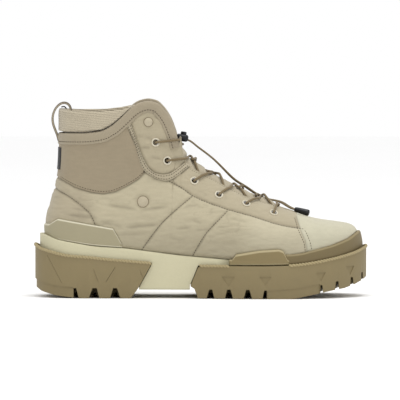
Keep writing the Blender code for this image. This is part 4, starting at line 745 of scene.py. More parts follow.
class Finish:
    """One material, put together node by node."""

    def __init__(self, name, roughness, **constants):
        self.material = bpy.data.materials.new(name)
        self.material.use_nodes = True
        self.tree = self.material.node_tree
        self.shader = next(n for n in self.tree.nodes if n.type == "BSDF_PRINCIPLED")
        self.shader.inputs["Roughness"].default_value = roughness
        for key, value in constants.items():
            self.shader.inputs[key.replace("_", " ").title().replace("Ior", "IOR")].default_value = value
        self.place = self.node("ShaderNodeTexCoord").outputs["Object"]

    def node(self, kind, settings=None, inputs=None):
        node = self.tree.nodes.new(kind)
        for key, value in (settings or {}).items():
            setattr(node, key, value)
        for key, value in (inputs or {}).items():
            self.feed(node.inputs[key], value)
        return node

    def feed(self, socket, value):
        if isinstance(value, Value):
            value = value.socket
        if isinstance(value, bpy.types.NodeSocket):
            self.tree.links.new(value, socket)
        else:
            socket.default_value = value

    def noise(self, size, detail=2.0, stretch=(1, 1, 1)):
        """Noise from 0 to 1, its blobs size across, stretched along the boot's own axes."""
        scale = tuple(1 / (size * s) for s in stretch)
        vector = self.node("ShaderNodeVectorMath", {"operation": "MULTIPLY"}, {0: self.place, 1: scale})
        node = self.node("ShaderNodeTexNoise", {}, {"Vector": vector.outputs[0], "Scale": 1.0, "Detail": detail})
        return Value(self, node.outputs[0])

    def axis(self, index):
        return Value(self, self.node("ShaderNodeSeparateXYZ", {}, {0: self.place}).outputs[index])

    def uv(self):
        spread = self.node("ShaderNodeUVMap", {"uv_map": "run"})
        parts = self.node("ShaderNodeSeparateXYZ", {}, {0: spread.outputs[0]})
        return Value(self, parts.outputs[0]), Value(self, parts.outputs[1])

    def number(self, name):
        return Value(self, self.node("ShaderNodeAttribute", {"attribute_name": name}).outputs["Fac"])

    def tint(self, name):
        return self.node("ShaderNodeAttribute", {"attribute_name": name}).outputs["Color"]

    def mix(self, share, first, second):
        first, second = ((*c, 1.0) if isinstance(c, tuple) and len(c) == 3 else c for c in (first, second))
        settings = {"data_type": "RGBA", "blend_type": "MIX"}
        return self.node("ShaderNodeMix", settings, {0: share, 6: first, 7: second}).outputs[2]

    def shaded(self, colour, by):
        """A colour made darker or lighter by a number round 1."""
        if isinstance(colour, tuple):
            colour = self.constant(colour)
        node = self.node("ShaderNodeVectorMath", {"operation": "SCALE"}, {0: colour, "Scale": by})
        return node.outputs[0]

    def constant(self, colour):
        node = self.node("ShaderNodeRGB")
        node.outputs[0].default_value = (*colour, 1.0)
        return node.outputs[0]

    def colour(self, socket):
        self.feed(self.shader.inputs["Base Color"], socket)

    def bump(self, height, strength=1.0):
        """Relief of a height in metres."""
        node = self.node("ShaderNodeBump", {}, {"Strength": strength, "Distance": 1.0, "Height": height})
        self.feed(self.shader.inputs["Normal"], node.outputs["Normal"])

    def rough(self, value):
        self.feed(self.shader.inputs["Roughness"], value)


def cloth(name, colour=None, weave=0.00055, crinkle=0.00016, blotch=0.06, roughness=0.82):
    """Woven cloth with fine crinkles drawn out along the boot, tinted by colour, or by the piece's own tint darkened
    by painted shade.
    """
    f = Finish(name, roughness, sheen_weight=0.12, sheen_roughness=0.5, specular_ior_level=0.25)
    x, y, z = f.axis(0), f.axis(1), f.axis(2)
    turn = 2 * math.pi / weave
    threads = (((x + y) * turn).sine() * (z * turn).sine()).size()
    creases = f.noise(0.0030, 3.0, (2.4, 2.4, 0.8))
    patches = f.noise(0.018, 3.0)
    specks = f.noise(0.0009, 1.0)
    base = f.tint("tint") if colour is None else f.constant(colour)
    level = 1.0 - blotch / 2 + patches * blotch - (1.0 - threads) * 0.05
    # Painted shade: the colour follows the crinkles' height, darker in their low parts
    level = level + (specks - 0.5) * 0.10 + (creases - 0.5) * 0.16
    # Painted shade: the piece's "deep" number darkens its seams, creases and folds
    if colour is None:
        level = level * (1.0 - f.number("deep") * 0.30)
    f.colour(f.shaded(base, level))
    f.bump(threads * 0.00005 + creases * crinkle + specks * 0.00003)
    return f.material


def rubber(name, colour, edge=None, grain=0.0007, roughness=0.62):
    """Moulded rubber with a fine grain and patches of wear, and paler rounded edges as painted highlight where an
    edge colour is given.
    """
    f = Finish(name, roughness, specular_ior_level=0.35)
    fine = f.noise(grain, 2.0)
    wear = f.noise(0.011, 4.0)
    level = 0.93 + fine * 0.06 + wear * 0.10
    base = f.constant(colour)
    # Painted highlight: the edge colour on the rounded edges that the "rim" number marks
    if edge is not None:
        base = f.mix(f.number("rim"), colour, edge)
    f.colour(f.shaded(base, level))
    f.bump(fine * 0.00005)
    f.rough(roughness - 0.06 + wear * 0.14)
    return f.material


def foam(name, colour):
    f = Finish(name, 0.7, specular_ior_level=0.3)
    fine = f.noise(0.0011, 2.0)
    patches = f.noise(0.012, 3.0)
    f.colour(f.shaded(f.constant(colour), 0.90 + fine * 0.10 + patches * 0.08))
    f.bump(fine * 0.00006)
    return f.material


def knit(name, colour, pitch=0.0021):
    """Ribbed knit: ribs round the collar with short stitches across them."""
    f = Finish(name, 0.85, sheen_weight=0.2, specular_ior_level=0.2)
    x, y, z = f.axis(0), f.axis(1), f.axis(2)
    wander = f.noise(0.012, 2.0) * 0.0012
    ribs = ((z + wander + x * 0.1) * (2 * math.pi / pitch)).sine()
    across = ((x + y) * (2 * math.pi / 0.0013)).sine()
    patches = f.noise(0.016, 3.0)
    f.colour(f.shaded(f.constant(colour), 0.90 + ribs * 0.05 + across * 0.02 + patches * 0.12))
    f.bump(ribs * 0.00022 + across * 0.00005 + f.noise(0.0012) * 0.00010)
    return f.material


def webbing(name, colour, across=0.0012, dark=0.14):
    """A woven band, ribbed across its run."""
    f = Finish(name, 0.8, sheen_weight=0.15, specular_ior_level=0.25)
    run, turn = f.uv()
    ribs = (run * (2 * math.pi / across)).sine()
    rows = (turn * (2 * math.pi / 0.0009)).sine()
    fuzz = f.noise(0.0010, 2.0)
    f.colour(f.shaded(f.constant(colour), 0.92 + ribs * dark / 2 + rows * 0.03 + fuzz * 0.14))
    f.bump(ribs * 0.00010 + rows * 0.00005 + fuzz * 0.00006)
    return f.material


def braid(name, colour, dark):
    """A braided cord: crossing strands round its length."""
    f = Finish(name, 0.7, sheen_weight=0.1, specular_ior_level=0.3)
    run, turn = f.uv()
    lean = run * (2 * math.pi / 0.0030)
    round_it = turn * (2 * math.pi * 3)
    left = (lean + round_it).sine()
    right = (lean - round_it).sine()
    strands = (left * right).size()
    fuzz = f.noise(0.0012, 2.0)
    share = strands ** 0.7
    f.colour(f.shaded(f.mix(share, dark, colour), 0.92 + fuzz * 0.16))
    f.bump(strands * 0.00016)
    return f.material


def plastic(name, colour, roughness=0.3):
    f = Finish(name, roughness, coat_weight=0.06, coat_roughness=0.15, specular_ior_level=0.3)
    fine = f.noise(0.0012, 2.0)
    f.colour(f.shaded(f.constant(colour), 0.9 + fine * 0.2))
    f.bump(fine * 0.00002)
    return f.material


def ring_finish(name, colour):
    f = Finish(name, 0.32, specular_ior_level=0.5, coat_weight=0.2)
    wear = f.noise(0.0014, 3.0)
    f.colour(f.shaded(f.constant(colour), 0.88 + wear * 0.22))
    f.rough(0.28 + wear * 0.16)
    f.bump(wear * 0.00002)
    return f.material


def twist(name, colour):
    f = Finish(name, 0.75, specular_ior_level=0.25)
    fine = f.noise(0.0005, 1.0)
    f.colour(f.shaded(f.constant(colour), 0.85 + fine * 0.3))
    return f.material


# Colours of the cloth's parts and of each piece, as the eye sees them
# The toe's tint is paler: painted light where the toe box faces up
TOE_TINT_PAINTED_LIGHT = srgb(200, 195, 171)
FRONT_TINT = srgb(203, 194, 167)
MIDDLE_TINT = srgb(190, 180, 153)
REAR_TINT = srgb(178, 167, 142)
FLAP_TINT = srgb(181, 170, 144)
PANEL_TINT = srgb(158, 145, 121)

QUILT = cloth("quilted_cloth")
LINING = cloth("lining_cloth", srgb(150, 138, 116))
PANEL = cloth("panel_cloth", PANEL_TINT, weave=0.0007, crinkle=0.00006, blotch=0.10)
TAPE = webbing("tape_weave", srgb(181, 170, 145), dark=0.06)
BINDING = webbing("binding_weave", srgb(166, 154, 131), dark=0.06)
CUFF = knit("cuff_knit", srgb(188, 177, 154))
TONGUE = cloth("tongue_cloth", srgb(178, 167, 143), crinkle=0.00020)
# The edge colours paint highlight on the rounded edges of counter, rand and wings
COUNTER_RUBBER = rubber("counter_rubber", srgb(160, 152, 124), edge=srgb(206, 200, 176))
RAND_RUBBER = rubber("rand_rubber", srgb(118, 104, 71), edge=srgb(140, 126, 92))
WING_RUBBER = rubber("wing_rubber", srgb(134, 119, 82), edge=srgb(172, 159, 124))
SOLE_RUBBER = rubber("sole_rubber", srgb(133, 119, 85))
WELT_RUBBER = rubber("welt_rubber", srgb(165, 150, 112))
FOAM = foam("midsole_foam", srgb(201, 195, 164))
INSOLE = cloth("insole_cloth", srgb(96, 86, 72))
RING = ring_finish("eyelet_ring", srgb(206, 198, 176))
SNAP = cloth("snap_cloth", srgb(190, 179, 154))
# A dark ring of painted shadow round each snap cap, where it presses into the cloth
SHADOW = twist("painted_shadow_ring", srgb(122, 109, 84))
# The stitches' dark colour: partly the thread's own, partly painted shade of the needle holes
THREAD_AND_HOLE_SHADE = twist("thread_and_hole_shade", srgb(66, 55, 38))
LACE, TAIL = (braid(name, srgb(150, 132, 98), srgb(92, 77, 52)) for name in ("lace_braid", "tail_braid"))
BLACK_PLASTIC = plastic("lock_plastic", srgb(11, 14, 18), 0.36)
LOOP_OUT = webbing("loop_weave", srgb(176, 164, 139))
LOOP_IN = webbing("loop_lining", srgb(84, 66, 48))
LABEL = webbing("label_weave", srgb(12, 13, 15), across=0.0009, dark=0.3)


def carry(obj, nodes=()):
    """Let a piece ride with the boot, and hide the solids that it stands for."""
    if nodes:
        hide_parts(*nodes)
    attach(obj, BODY)
    return obj


def link(name, mesh):
    obj = bpy.data.objects.new(name, mesh)
    bpy.context.scene.collection.objects.link(obj)
    return obj


def outward(mesh):
    """Turn all faces of a closed mesh outward."""
    work = bmesh.new()
    work.from_mesh(mesh)
    bmesh.ops.recalc_face_normals(work, faces=work.faces)
    work.to_mesh(mesh)
    work.free()


def lay_run(mesh, uvs):
    """Give a mesh the run and turn of its weave at each face corner."""
    mesh.uv_layers.new(name="run").data.foreach_set("uv", np.asarray(uvs, np.float32).ravel())


def corners(run, turn, faces):
    """Run and turn of each face corner, from those of a grid's rows and columns."""
    return grid_corners(np.stack(np.broadcast_arrays(run[:, None], turn[None, :]), axis=2).reshape(-1, 2), faces)


def grid_corners(grid, faces):
    return np.concatenate([grid[list(face)] for face in faces])


def add(name, points, faces, finishes, slot, nodes=(), angle=45, which=None, uvs=None, numbers=None, tints=None):
    """A mesh piece with its finishes, weave, point numbers and tints, and the solids that it stands for."""
    mesh = bpy.data.meshes.new(name)
    mesh.from_pydata(np.asarray(points, float).tolist(), [], [list(map(int, f)) for f in faces])
    for finish in finishes if isinstance(finishes, list) else [finishes]:
        mesh.materials.append(finish)
    if which is not None:
        mesh.polygons.foreach_set("material_index", np.asarray(which, np.int32))
    if uvs is not None:
        lay_run(mesh, uvs)
    for key, values in (numbers or {}).items():
        mesh.attributes.new(key, "FLOAT", "POINT").data.foreach_set("value", np.asarray(values, np.float32).ravel())
    for key, values in (tints or {}).items():
        rows = np.concatenate([values, np.ones((len(values), 1))], axis=1)
        mesh.attributes.new(key, "FLOAT_COLOR", "POINT").data.foreach_set("color", rows.astype(np.float32).ravel())
    outward(mesh)
    mesh.shade_smooth()
    if angle < 180:
        mesh.set_sharp_from_angle(angle=math.radians(angle))
    return carry(link(name, mesh), nodes)


def quads(own, ahead, size):
    """Four-sided faces between each ring of points and the next one."""
    k = np.arange(size)[None, :]
    after = (k + 1) % size
    own, ahead = own * size, ahead * size
    return np.stack([own + k, ahead + k, ahead + after, own + after], axis=2).reshape(-1, 4)


def wrap(outer, inner, closed, rim=None):
    """Faces of a wall between an outer and an inner grid [column, level] that share their columns."""
    columns, levels, depth = outer.shape[0], outer.shape[1], inner.shape[1]
    middle = 0 if rim is None else 1
    rows = [outer] + ([] if rim is None else [rim[:, None]]) + [inner[:, ::-1]]
    count = levels + middle + depth
    points = np.concatenate(rows, axis=1).reshape(-1, 3)
    own = np.arange(columns if closed else columns - 1)[:, None]
    faces = quads(own, (own + 1) % columns, count).tolist()
    level = np.arange(count)[None, :]
    inside = np.broadcast_to((level >= levels + middle - 1) & (level < count - 1), (len(own), count)).ravel()
    if not closed:
        faces += [list(range(count)), [(columns - 1) * count + i for i in range(count)]]
        inside = np.concatenate([inside, [False, False]])
    return points, faces, inside


def loft(sections):
    """Faces through rings of points [section, point], with flat ends."""
    sections = np.asarray(sections)
    count, size = sections.shape[:2]
    own = np.arange(count - 1)[:, None]
    faces = quads(own, own + 1, size)[:, [0, 3, 2, 1]].tolist()
    faces += [list(range(size)), [(count - 1) * size + i for i in range(size)]]
    return sections.reshape(-1, 3), faces


def merged(parts):
    """Points and faces of several parts as one list."""
    points, faces = [], []
    base = 0
    for part_points, part_faces in parts:
        points.append(np.asarray(part_points))
        faces.extend([[base + i for i in face] for face in part_faces])
        base += len(part_points)
    return np.concatenate(points), faces


# The quilted shell
SHELL_COLUMNS = 620
SHELL_LEVELS = 118
LINING_LEVELS = 16


def make_shell():
    u = np.arange(SHELL_COLUMNS) / SHELL_COLUMNS
    top = trim(u)
    v = top[:, None] * np.linspace(0, 1, SHELL_LEVELS)[None, :]
    wide_u = np.broadcast_to(u[:, None], v.shape)
    height, deep, toe, above, ankle, front = relief(wide_u, v)
    outer = off_last(wide_u, v, height)
    depth_v = top[:, None] * np.linspace(0, 1, LINING_LEVELS)[None, :]
    inner = off_last(np.broadcast_to(u[:, None], depth_v.shape), depth_v, np.full(depth_v.shape, -WALL))
    inner[:, 0, 2] = outer[:, 0, 2]
    up_way = last_point(u, top) - last_point(u, top - 0.01)
    up_way /= np.linalg.norm(up_way, axis=1, keepdims=True)
    rim = 0.5 * (outer[:, -1] + inner[:, -1]) + 0.8 * MM * up_way
    points, faces, inside = wrap(outer, inner, True, rim)
    x = outer[..., 0]
    rear = 1 - blend_in(x, -112 * MM, -92 * MM)
    tint = np.ones((*v.shape, 1)) * np.array(MIDDLE_TINT)
    tints = (rear, REAR_TINT), (front, FRONT_TINT), (toe, TOE_TINT_PAINTED_LIGHT), (above, FLAP_TINT), (ankle, PANEL_TINT)
    for share, colour in tints:
        tint += share[..., None] * (np.array(colour) - tint)
    # Painted shade: the quilted cloth darker towards the sole, as under light from above
    painted_low_shade = 0.80 + 0.20 * blend_in(outer[..., 2], 36 * MM, 88 * MM)
    tint *= (painted_low_shade * (1 - toe) + toe)[..., None]
    all_tint = np.ones((SHELL_COLUMNS, SHELL_LEVELS + 1 + LINING_LEVELS, 3)) * np.array(FLAP_TINT)
    all_tint[:, :SHELL_LEVELS] = tint
    # Painted shade of the seams, creases and folds, on the outer rows only
    all_painted_shade = np.zeros(all_tint.shape[:2])
    all_painted_shade[:, :SHELL_LEVELS] = deep
    return add(
        "quilted_shell", points, faces, [QUILT, LINING], "quilted_fabric", ["upper"], 180,
        which=inside, numbers={"deep": all_painted_shade}, tints={"tint": all_tint.reshape(-1, 3)},
    )


SHELL = make_shell()
EDGE_ROWS = 5
EDGE_FOOT = 0.25


def rate_at(u, v):
    """Length along the last for each unit up a column."""
    v = np.clip(v, 0.01, 0.99)
    return np.linalg.norm(last_point(u, v + 0.01) - last_point(u, v - 0.01), axis=-1) / 0.02


def patch(u, low, high, thickness, bevel, base=OVERLAY_FIT, rows=14):
    """A piece that lies on the last between two levels of each column: points, faces, 1 on its rounded edges."""
    rate = rate_at(u, (low + high) / 2)
    span = np.maximum((high - low) * rate, 0.1 * MM)
    turn = np.radians(np.linspace(0, 90, EDGE_ROWS))
    edge = np.minimum(bevel, 0.45 * span)[:, None] * (1 - np.cos(turn))[None, :]
    middle = edge[:, -1:] + (span[:, None] - 2 * edge[:, -1:]) * np.linspace(0, 1, rows)[None, 1:-1]
    away = np.concatenate([edge, middle, span[:, None] - edge[:, ::-1]], axis=1)
    rise = np.ones(away.shape)
    rise[:, :EDGE_ROWS] = EDGE_FOOT + (1 - EDGE_FOOT) * np.sin(turn)
    rise[:, -EDGE_ROWS:] = rise[:, EDGE_ROWS - 1::-1]
    v = low[:, None] + away / rate[:, None]
    run = run_along(last_point(u, (low + high) / 2))
    near = np.clip(np.minimum(run, run[-1] - run) / bevel, 0, 1)
    ends = EDGE_FOOT + (1 - EDGE_FOOT) * np.sqrt(1 - (1 - near) ** 2)
    outer = off_last(np.broadcast_to(u[:, None], v.shape), v, base + thickness * rise * ends[:, None])
    inner_v = low[:, None] + (high - low)[:, None] * np.linspace(0, 1, EDGE_ROWS)[None, :]
    inner = off_last(np.broadcast_to(u[:, None], inner_v.shape), inner_v, np.full(inner_v.shape, base - 0.3 * MM))
    rim = np.zeros((len(u), away.shape[1] + EDGE_ROWS))
    rim[:, :away.shape[1]] = (rise < 0.995) * 1.0
    points, faces, _ = wrap(outer, inner, False)
    return points, faces, rim


def spread(start, end, step):
    """Evenly spaced columns between two places round the last, about step apart."""
    return np.linspace(start, end, max(4, int(abs(end - start) * ROUND_LENGTH / step)))


def column_at(x, z):
    return float(locate([(x, z)])[0, 0])


def line(table):
    """Height over x of a side line given in millimetres."""
    xs, zs = np.array(table, float).T * MM
    return lambda x: np.interp(x, xs, zs)


def make_panel():
    """Smooth cloth round the ankle and the heel, behind the flaps."""
    reach = column_at(-53.2 * MM, 116.6 * MM)
    u = spread(-reach, reach, 1.1 * MM)
    low = level_at(u, line(PANEL_LOW))
    high = level_at(u, line(PANEL_TOP))
    points, faces, _ = patch(u, low, np.maximum(high, low + 1e-4), 0.55 * MM, 0.8 * MM, base=0.1 * MM, rows=40)
    add("ankle_panel", points, faces, PANEL, "quilted_fabric")


make_panel()


TAPE_ROWS = 9
TAPE_WIDTH = 0.0045


def ribbon(name, back, front, thickness, finish, slot, rows=TAPE_ROWS, base=0.2 * MM, count=80):
    """A folded tape between two side lines, on both sides of the boot."""
    back = smooth_route(np.array(back) * MM, count)
    front = smooth_route(np.array(front) * MM, count)
    share = np.linspace(0, 1, rows)
    flat = back[:, None] + share[None, :, None] * (front - back)[:, None]
    place = locate(flat.reshape(-1, 2)).reshape(count, rows, 2)
    rise = np.clip(np.minimum(share, 1 - share) * 5, 0, 1) ** 0.5
    run, turn = run_along(back), share * TAPE_WIDTH
    for side, there in (("lateral", place), ("medial", mirrored(place))):
        u, v = there[..., 0], np.minimum(there[..., 1], 0.999)
        outer = off_last(u, v, base + np.broadcast_to(0.3 * MM + thickness * rise, u.shape))
        inner = off_last(u, v, np.full(u.shape, base - 0.4 * MM))
        points, faces, _ = wrap(outer, inner, False)
        uvs = corners(run, np.concatenate([turn, turn[::-1]]), faces)
        add(name + "_" + side, points, faces, finish, slot, uvs=uvs)
    return place


TAPE_PLACES = ribbon("flap_tape", TAPE_BACK, TAPE_FRONT, 0.9 * MM, TAPE, "binding_tape")


def walk(places, moves):
    """The places on the last that lie one move away along its face."""
    here = np.array(places, float)
    goal = last_point(*here.T) + moves
    for _ in range(6):
        point = last_point(*here.T)
        by_u = (last_point(here[:, 0] + 1e-4, here[:, 1]) - point) / 1e-4
        by_v = (point - last_point(here[:, 0], here[:, 1] - 1e-4)) / 1e-4
        slope = np.stack([by_u, by_v], axis=2)
        square = np.einsum("nki,nkj->nij", slope, slope)
        pull = np.einsum("nki,nk->ni", slope, goal - point)
        here = here + np.clip(np.linalg.solve(square, pull[..., None])[..., 0], -0.05, 0.05)
    return here


BINDING_SECTIONS = 380
# The binding's outside: share of its width down from the edge, and height over the last in millimetres
BINDING_FACE = ((1.0, 1.1), (0.92, 1.75), (0.8, 1.45), (0.55, 1.6), (0.3, 1.75), (0.1, 1.6))
BINDING_FOLD_RADIUS = WALL / 2 + 1.45 * MM
BINDING_FOLD_SQUASH = 0.5


def binding_line():
    """The shell's bound edge from flap to flap round the heel: places, points, ways out and up, and run."""
    u = np.linspace(-0.5, 0.5, 1601)
    top = trim(u)
    kept = top < 1
    places = np.stack([u[kept], top[kept]], axis=1)
    points = last_point(*places.T)
    run = run_along(points)
    even = np.linspace(0, run[-1], BINDING_SECTIONS)
    places = rows_at(even, run, places)
    points = last_point(*places.T)
    ways = np.gradient(points, axis=0)
    kernel = np.hanning(9)
    kernel /= kernel.sum()
    padded = np.concatenate([ways[:1].repeat(4, 0), ways, ways[-1:].repeat(4, 0)])
    ways = np.stack([np.convolve(padded[:, i], kernel, "valid") for i in range(3)], axis=1)
    outs = last_normal(*places.T)
    away = np.cross(outs, ways)
    return places, points, outs, away / np.linalg.norm(away, axis=1, keepdims=True), even


def make_binding():
    """Tape folded over the shell's edge: its outside, its fold, its inside and the slot for the wall."""
    places, points, outs, away, run = binding_line()
    legs = {}
    for share, _ in BINDING_FACE:
        at = walk(places, -share * BINDING_WIDTH * away)
        legs[share] = last_point(*at.T), last_normal(*at.T)

    def leg(share, height):
        point, out = legs[share]
        return point + height * out

    ring = [leg(1.0, 0.1 * MM)] + [leg(share, height * MM) for share, height in BINDING_FACE]
    centre = points - WALL / 2 * outs - 0.1 * MM * away
    for angle in np.radians((25, 55, 90, 125, 155)):
        way = math.cos(angle) * outs + BINDING_FOLD_SQUASH * math.sin(angle) * away
        ring.append(centre + BINDING_FOLD_RADIUS * way)
    ring += [leg(share, -WALL - 1.4 * MM) for share in (0.1, 0.55, 1.0)]
    ring += [leg(share, -WALL - 0.2 * MM) for share in (1.0, 0.1)]
    ring += [points + 0.2 * MM * away + height * outs for height in (-WALL - 0.1 * MM, 0.1 * MM)]
    ring.append(leg(0.55, 0.1 * MM))
    rings = np.stack(ring, axis=1)
    points, faces = loft(rings)
    uvs = corners(run, run_along(rings[BINDING_SECTIONS // 2]), faces)
    add("collar_tape", points, faces, BINDING, "binding_tape", ["collar_binding"], uvs=uvs)
    return places, away


BOUND_PLACES, BOUND_AWAY = make_binding()


CUFF_THICKNESS = 0.0032
CUFF_PROUD = 0.0010
CUFF_FOOT_DOWN = 0.012
CUFF_ROLL = 0.1
CUFF_FRONT = -13.0


def make_cuff():
    """The knit cuff that stands above the binding, round at its top."""
    u = np.linspace(-AROUND[4], AROUND[4], 301)
    x = last_point(u, level_at(u, lambda x: np.full(np.shape(x), 0.9 * BOOT_HEIGHT)))[:, 0]
    u, x = u[x < CUFF_FRONT * ALONG], x[x < CUFF_FRONT * ALONG]
    top_line = monotone(TOP_LINE, x)
    cuff_top = monotone(CUFF_TOP, x)
    tuck = -(WALL + 4 * OVERLAY_FIT + BINDING_THICKNESS)
    foot = np.minimum(top_line, cuff_top) - CUFF_FOOT_DOWN
    outer, inner = [], []
    for share in np.concatenate([np.linspace(0, 1 - CUFF_ROLL, 19), [0.94, 0.97, 0.99, 1.0]]):
        height = foot + share * (cuff_top - foot)
        v = level_at(u, lambda x: height)
        rise = blend_in(height - top_line, -0.0004, 0.0014)
        rolled = max(0, (share - 1 + CUFF_ROLL) / CUFF_ROLL)
        thick = CUFF_THICKNESS * math.sqrt(max(0.12, 1 - rolled**2))
        wave = 0.22 * MM * ripples(np.stack([x, height], axis=1), 8 * MM, 3 * MM, 12)
        middle = tuck + rise * (CUFF_PROUD - tuck) - CUFF_THICKNESS / 2 + wave
        outer.append(off_last(u, v, middle + thick / 2))
        inner.append(off_last(u, v, middle - thick / 2))
    outer, inner = (np.swapaxes(np.array(g), 0, 1) for g in (outer, inner))
    points, faces, _ = wrap(outer, inner, False)
    cuff = add("knit_cuff", points, faces, CUFF, "knit_cuff", ["collar_cuff"])


make_cuff()


def foot_line(x):
    return monotone(MIDSOLE_EDGE, x) + 2 * FIT


def fore_foot(x):
    return fore_top_height(x) + 2 * FIT


def make_counter():
    reach = column_at(COUNTER[-1][0] * ALONG, COUNTER[-1][1] * UP)
    u = spread(-reach, reach, 1.4 * MM)
    low = level_at(u, foot_line, -0.1)
    high = level_at(u, lambda x: straight(COUNTER, x))
    kept = high > low + 0.002
    points, faces, rim = patch(u[kept], low[kept], high[kept], 2.1 * MM, 1.5 * MM, rows=12)
    add("counter_cap", points, faces, COUNTER_RUBBER, "counter_rubber", ["heel_counter"], numbers={"rim": rim})


def make_rand():
    start = column_at(25.0 * ALONG, 20 * UP)
    u = spread(start, 1 - start, 1.4 * MM)
    low = level_at(u, fore_foot, -0.1)
    high = level_at(u, lambda x: np.maximum(straight(RAND, x), 22.5 * UP))
    points, faces, rim = patch(u, low, high, 3.2 * MM, 1.6 * MM, rows=12)
    add("toe_cap", points, faces, RAND_RUBBER, "outsole_rubber", ["toe_rand"], numbers={"rim": rim})


def make_wings():
    back = column_at(WING[0][0] * ALONG + 0.6 * MM, WING[0][1] * UP + 0.8 * MM)
    front = column_at(WING[-1][0] * ALONG - 0.5 * MM, WING[-1][1] * UP + 0.8 * MM)
    u = spread(back, front, 0.9 * MM)
    low = level_at(u, fore_foot, -0.1)
    high = level_at(u, lambda x: straight(WING, x))
    kept = high > low + 0.004
    for side, columns in (("lateral", u), ("medial", 1 - u)):
        points, faces, rim = patch(columns[kept], low[kept], high[kept], 3.9 * MM, 1.9 * MM, rows=10)
        add("side_wing_" + side, points, faces, WING_RUBBER, "outsole_rubber", ["wing_" + side], numbers={"rim": rim})


make_counter()
make_rand()
make_wings()


# Soles
SOLE_STEP = 3.5 * MM
CUTTER_BELOW = 4 * MM
SHARP_FROM = math.radians(40)


def prism(outline, near, far):
    """A solid with a side outline, from one side of the boot to the other."""
    count = len(outline)
    points = [(x, y, z) for y in (near, far) for x, z in outline]
    faces = [list(range(count)), list(range(2 * count - 1, count - 1, -1))]
    faces += [[k, (k + 1) % count, count + (k + 1) % count, count + k] for k in range(count)]
    return np.array(points, float), faces


def cut(obj, name, parts):
    """Take closed parts out of a piece."""
    points, faces = merged(parts)
    mesh = bpy.data.meshes.new(name)
    mesh.from_pydata(points.tolist(), [], faces)
    outward(mesh)
    cutter = link(name, mesh)
    modifier = obj.modifiers.new(name, "BOOLEAN")
    modifier.operation = "DIFFERENCE"
    modifier.solver = "EXACT"
    modifier.object = cutter
    apply(obj, modifier)
    bpy.data.objects.remove(cutter)


def clear_selection():
    bpy.ops.object.select_all(action="DESELECT")


def apply(obj, modifier):
    clear_selection()
    obj.select_set(True)
    bpy.context.view_layer.objects.active = obj
    bpy.ops.object.modifier_apply(modifier=modifier.name)


def rounded(obj, width, segments, angle=None):
    """Round a piece's edges, or only those sharper than an angle."""
    bevel = obj.modifiers.new("round", "BEVEL")
    bevel.width = width
    bevel.segments = segments
    if angle is not None:
        bevel.limit_method = "ANGLE"
        bevel.angle_limit = math.radians(angle)
    apply(obj, bevel)


def shade(obj):
    obj.data.shade_smooth()
    obj.data.set_sharp_from_angle(angle=SHARP_FROM)


def stations(back, front, round_back, round_front, tables=(), step=SOLE_STEP):
    """Places along the sole: even, closer at its round ends, and at each point of the side tables."""
    places = [row[0] * ALONG for table in tables for row in table] + list(np.arange(back, front, step))
    turn = np.radians(np.linspace(0, 90, 22))
    if round_back:
        places += list(back + (HEEL_ROUND_FROM - back) * (1 - np.cos(turn)))
    if round_front:
        places += list(front - (front - TOE_ROUND_FROM) * (1 - np.cos(turn)))
    kept = [back]
    for place in sorted(p for p in places if back < p < front):
        near_end = min(place - back, front - place) < step
        if place - kept[-1] > (0.03 if near_end else 0.4) * step:
            kept.append(place)
    return np.array(kept + [front])


def cross_sections(places, half_at, ring_at, least=0.0025):
    """Rings across the sole: ring_at gives how far in from the edge and how high each point stands."""
    sections = []
    for x in places:
        half = max(float(half_at(x)), least)
        middle = float(shift(x))
        ring = [(max(half - inset, 0.4 * least), high) for inset, high in ring_at(x)]
        sections.append([(x, middle - y, z) for y, z in ring] + [(x, middle + y, z) for y, z in reversed(ring)])
    return loft(sections)


def outsole_ring(top, bottom):
    """The cross-section of an outsole at any place along it, round at its edges."""
    def ring(x):
        high, low = float(top(x)), float(straight(bottom, x))
        edge = min(0.9 * MM, 0.3 * (high - low))
        return [
            (0.9 * MM, high), (0.35 * MM, high - 0.25 * MM), (0.0, high - 1.0 * MM),
            (0.0, low + edge), (0.3 * edge, low + 0.3 * edge), (edge, low),
        ]
    return ring


def outline_edge(x, side):
    """The sole's edge at x seen from above, and the way out of it."""
    def edge(place):
        place = np.clip(place, SOLE_BACK, SOLE_FRONT)
        return np.array([place, shift(place) + side * plan_half(place, SOLE_BACK, SOLE_FRONT, 0)])
    along = edge(x + 0.5 * MM) - edge(x - 0.5 * MM)
    out = side * np.array([-along[1], along[0]])
    return edge(x), out / np.linalg.norm(out)


def groove_parts(grooves):
    """Wedge-shaped gaps between the lugs, cut in from both sides."""
    parts = []
    below = CUTTER_BELOW
    for foot_from, foot_to, head_from, head_to, high in grooves:
        lean = [(head - foot) / (high * UP) for foot, head in ((foot_from, head_from), (foot_to, head_to))]
        outline = [
            ((foot_from - lean[0] * below) * ALONG, -below), ((foot_to - lean[1] * below) * ALONG, -below),
            (head_to * ALONG, high * UP), (head_from * ALONG, high * UP),
        ]
        middle = (foot_from + foot_to) / 2 * ALONG
        half = float(plan_half(middle, SOLE_BACK, SOLE_FRONT, 0))
        depth = min(LUG_GROOVE_DEPTH, 0.7 * half)
        for side in (-1, 1):
            ends = sorted((float(shift(middle)) + side * (half - depth), float(shift(middle)) + side * (half + 0.02)))
            parts.append(prism(outline, *ends))
    return parts


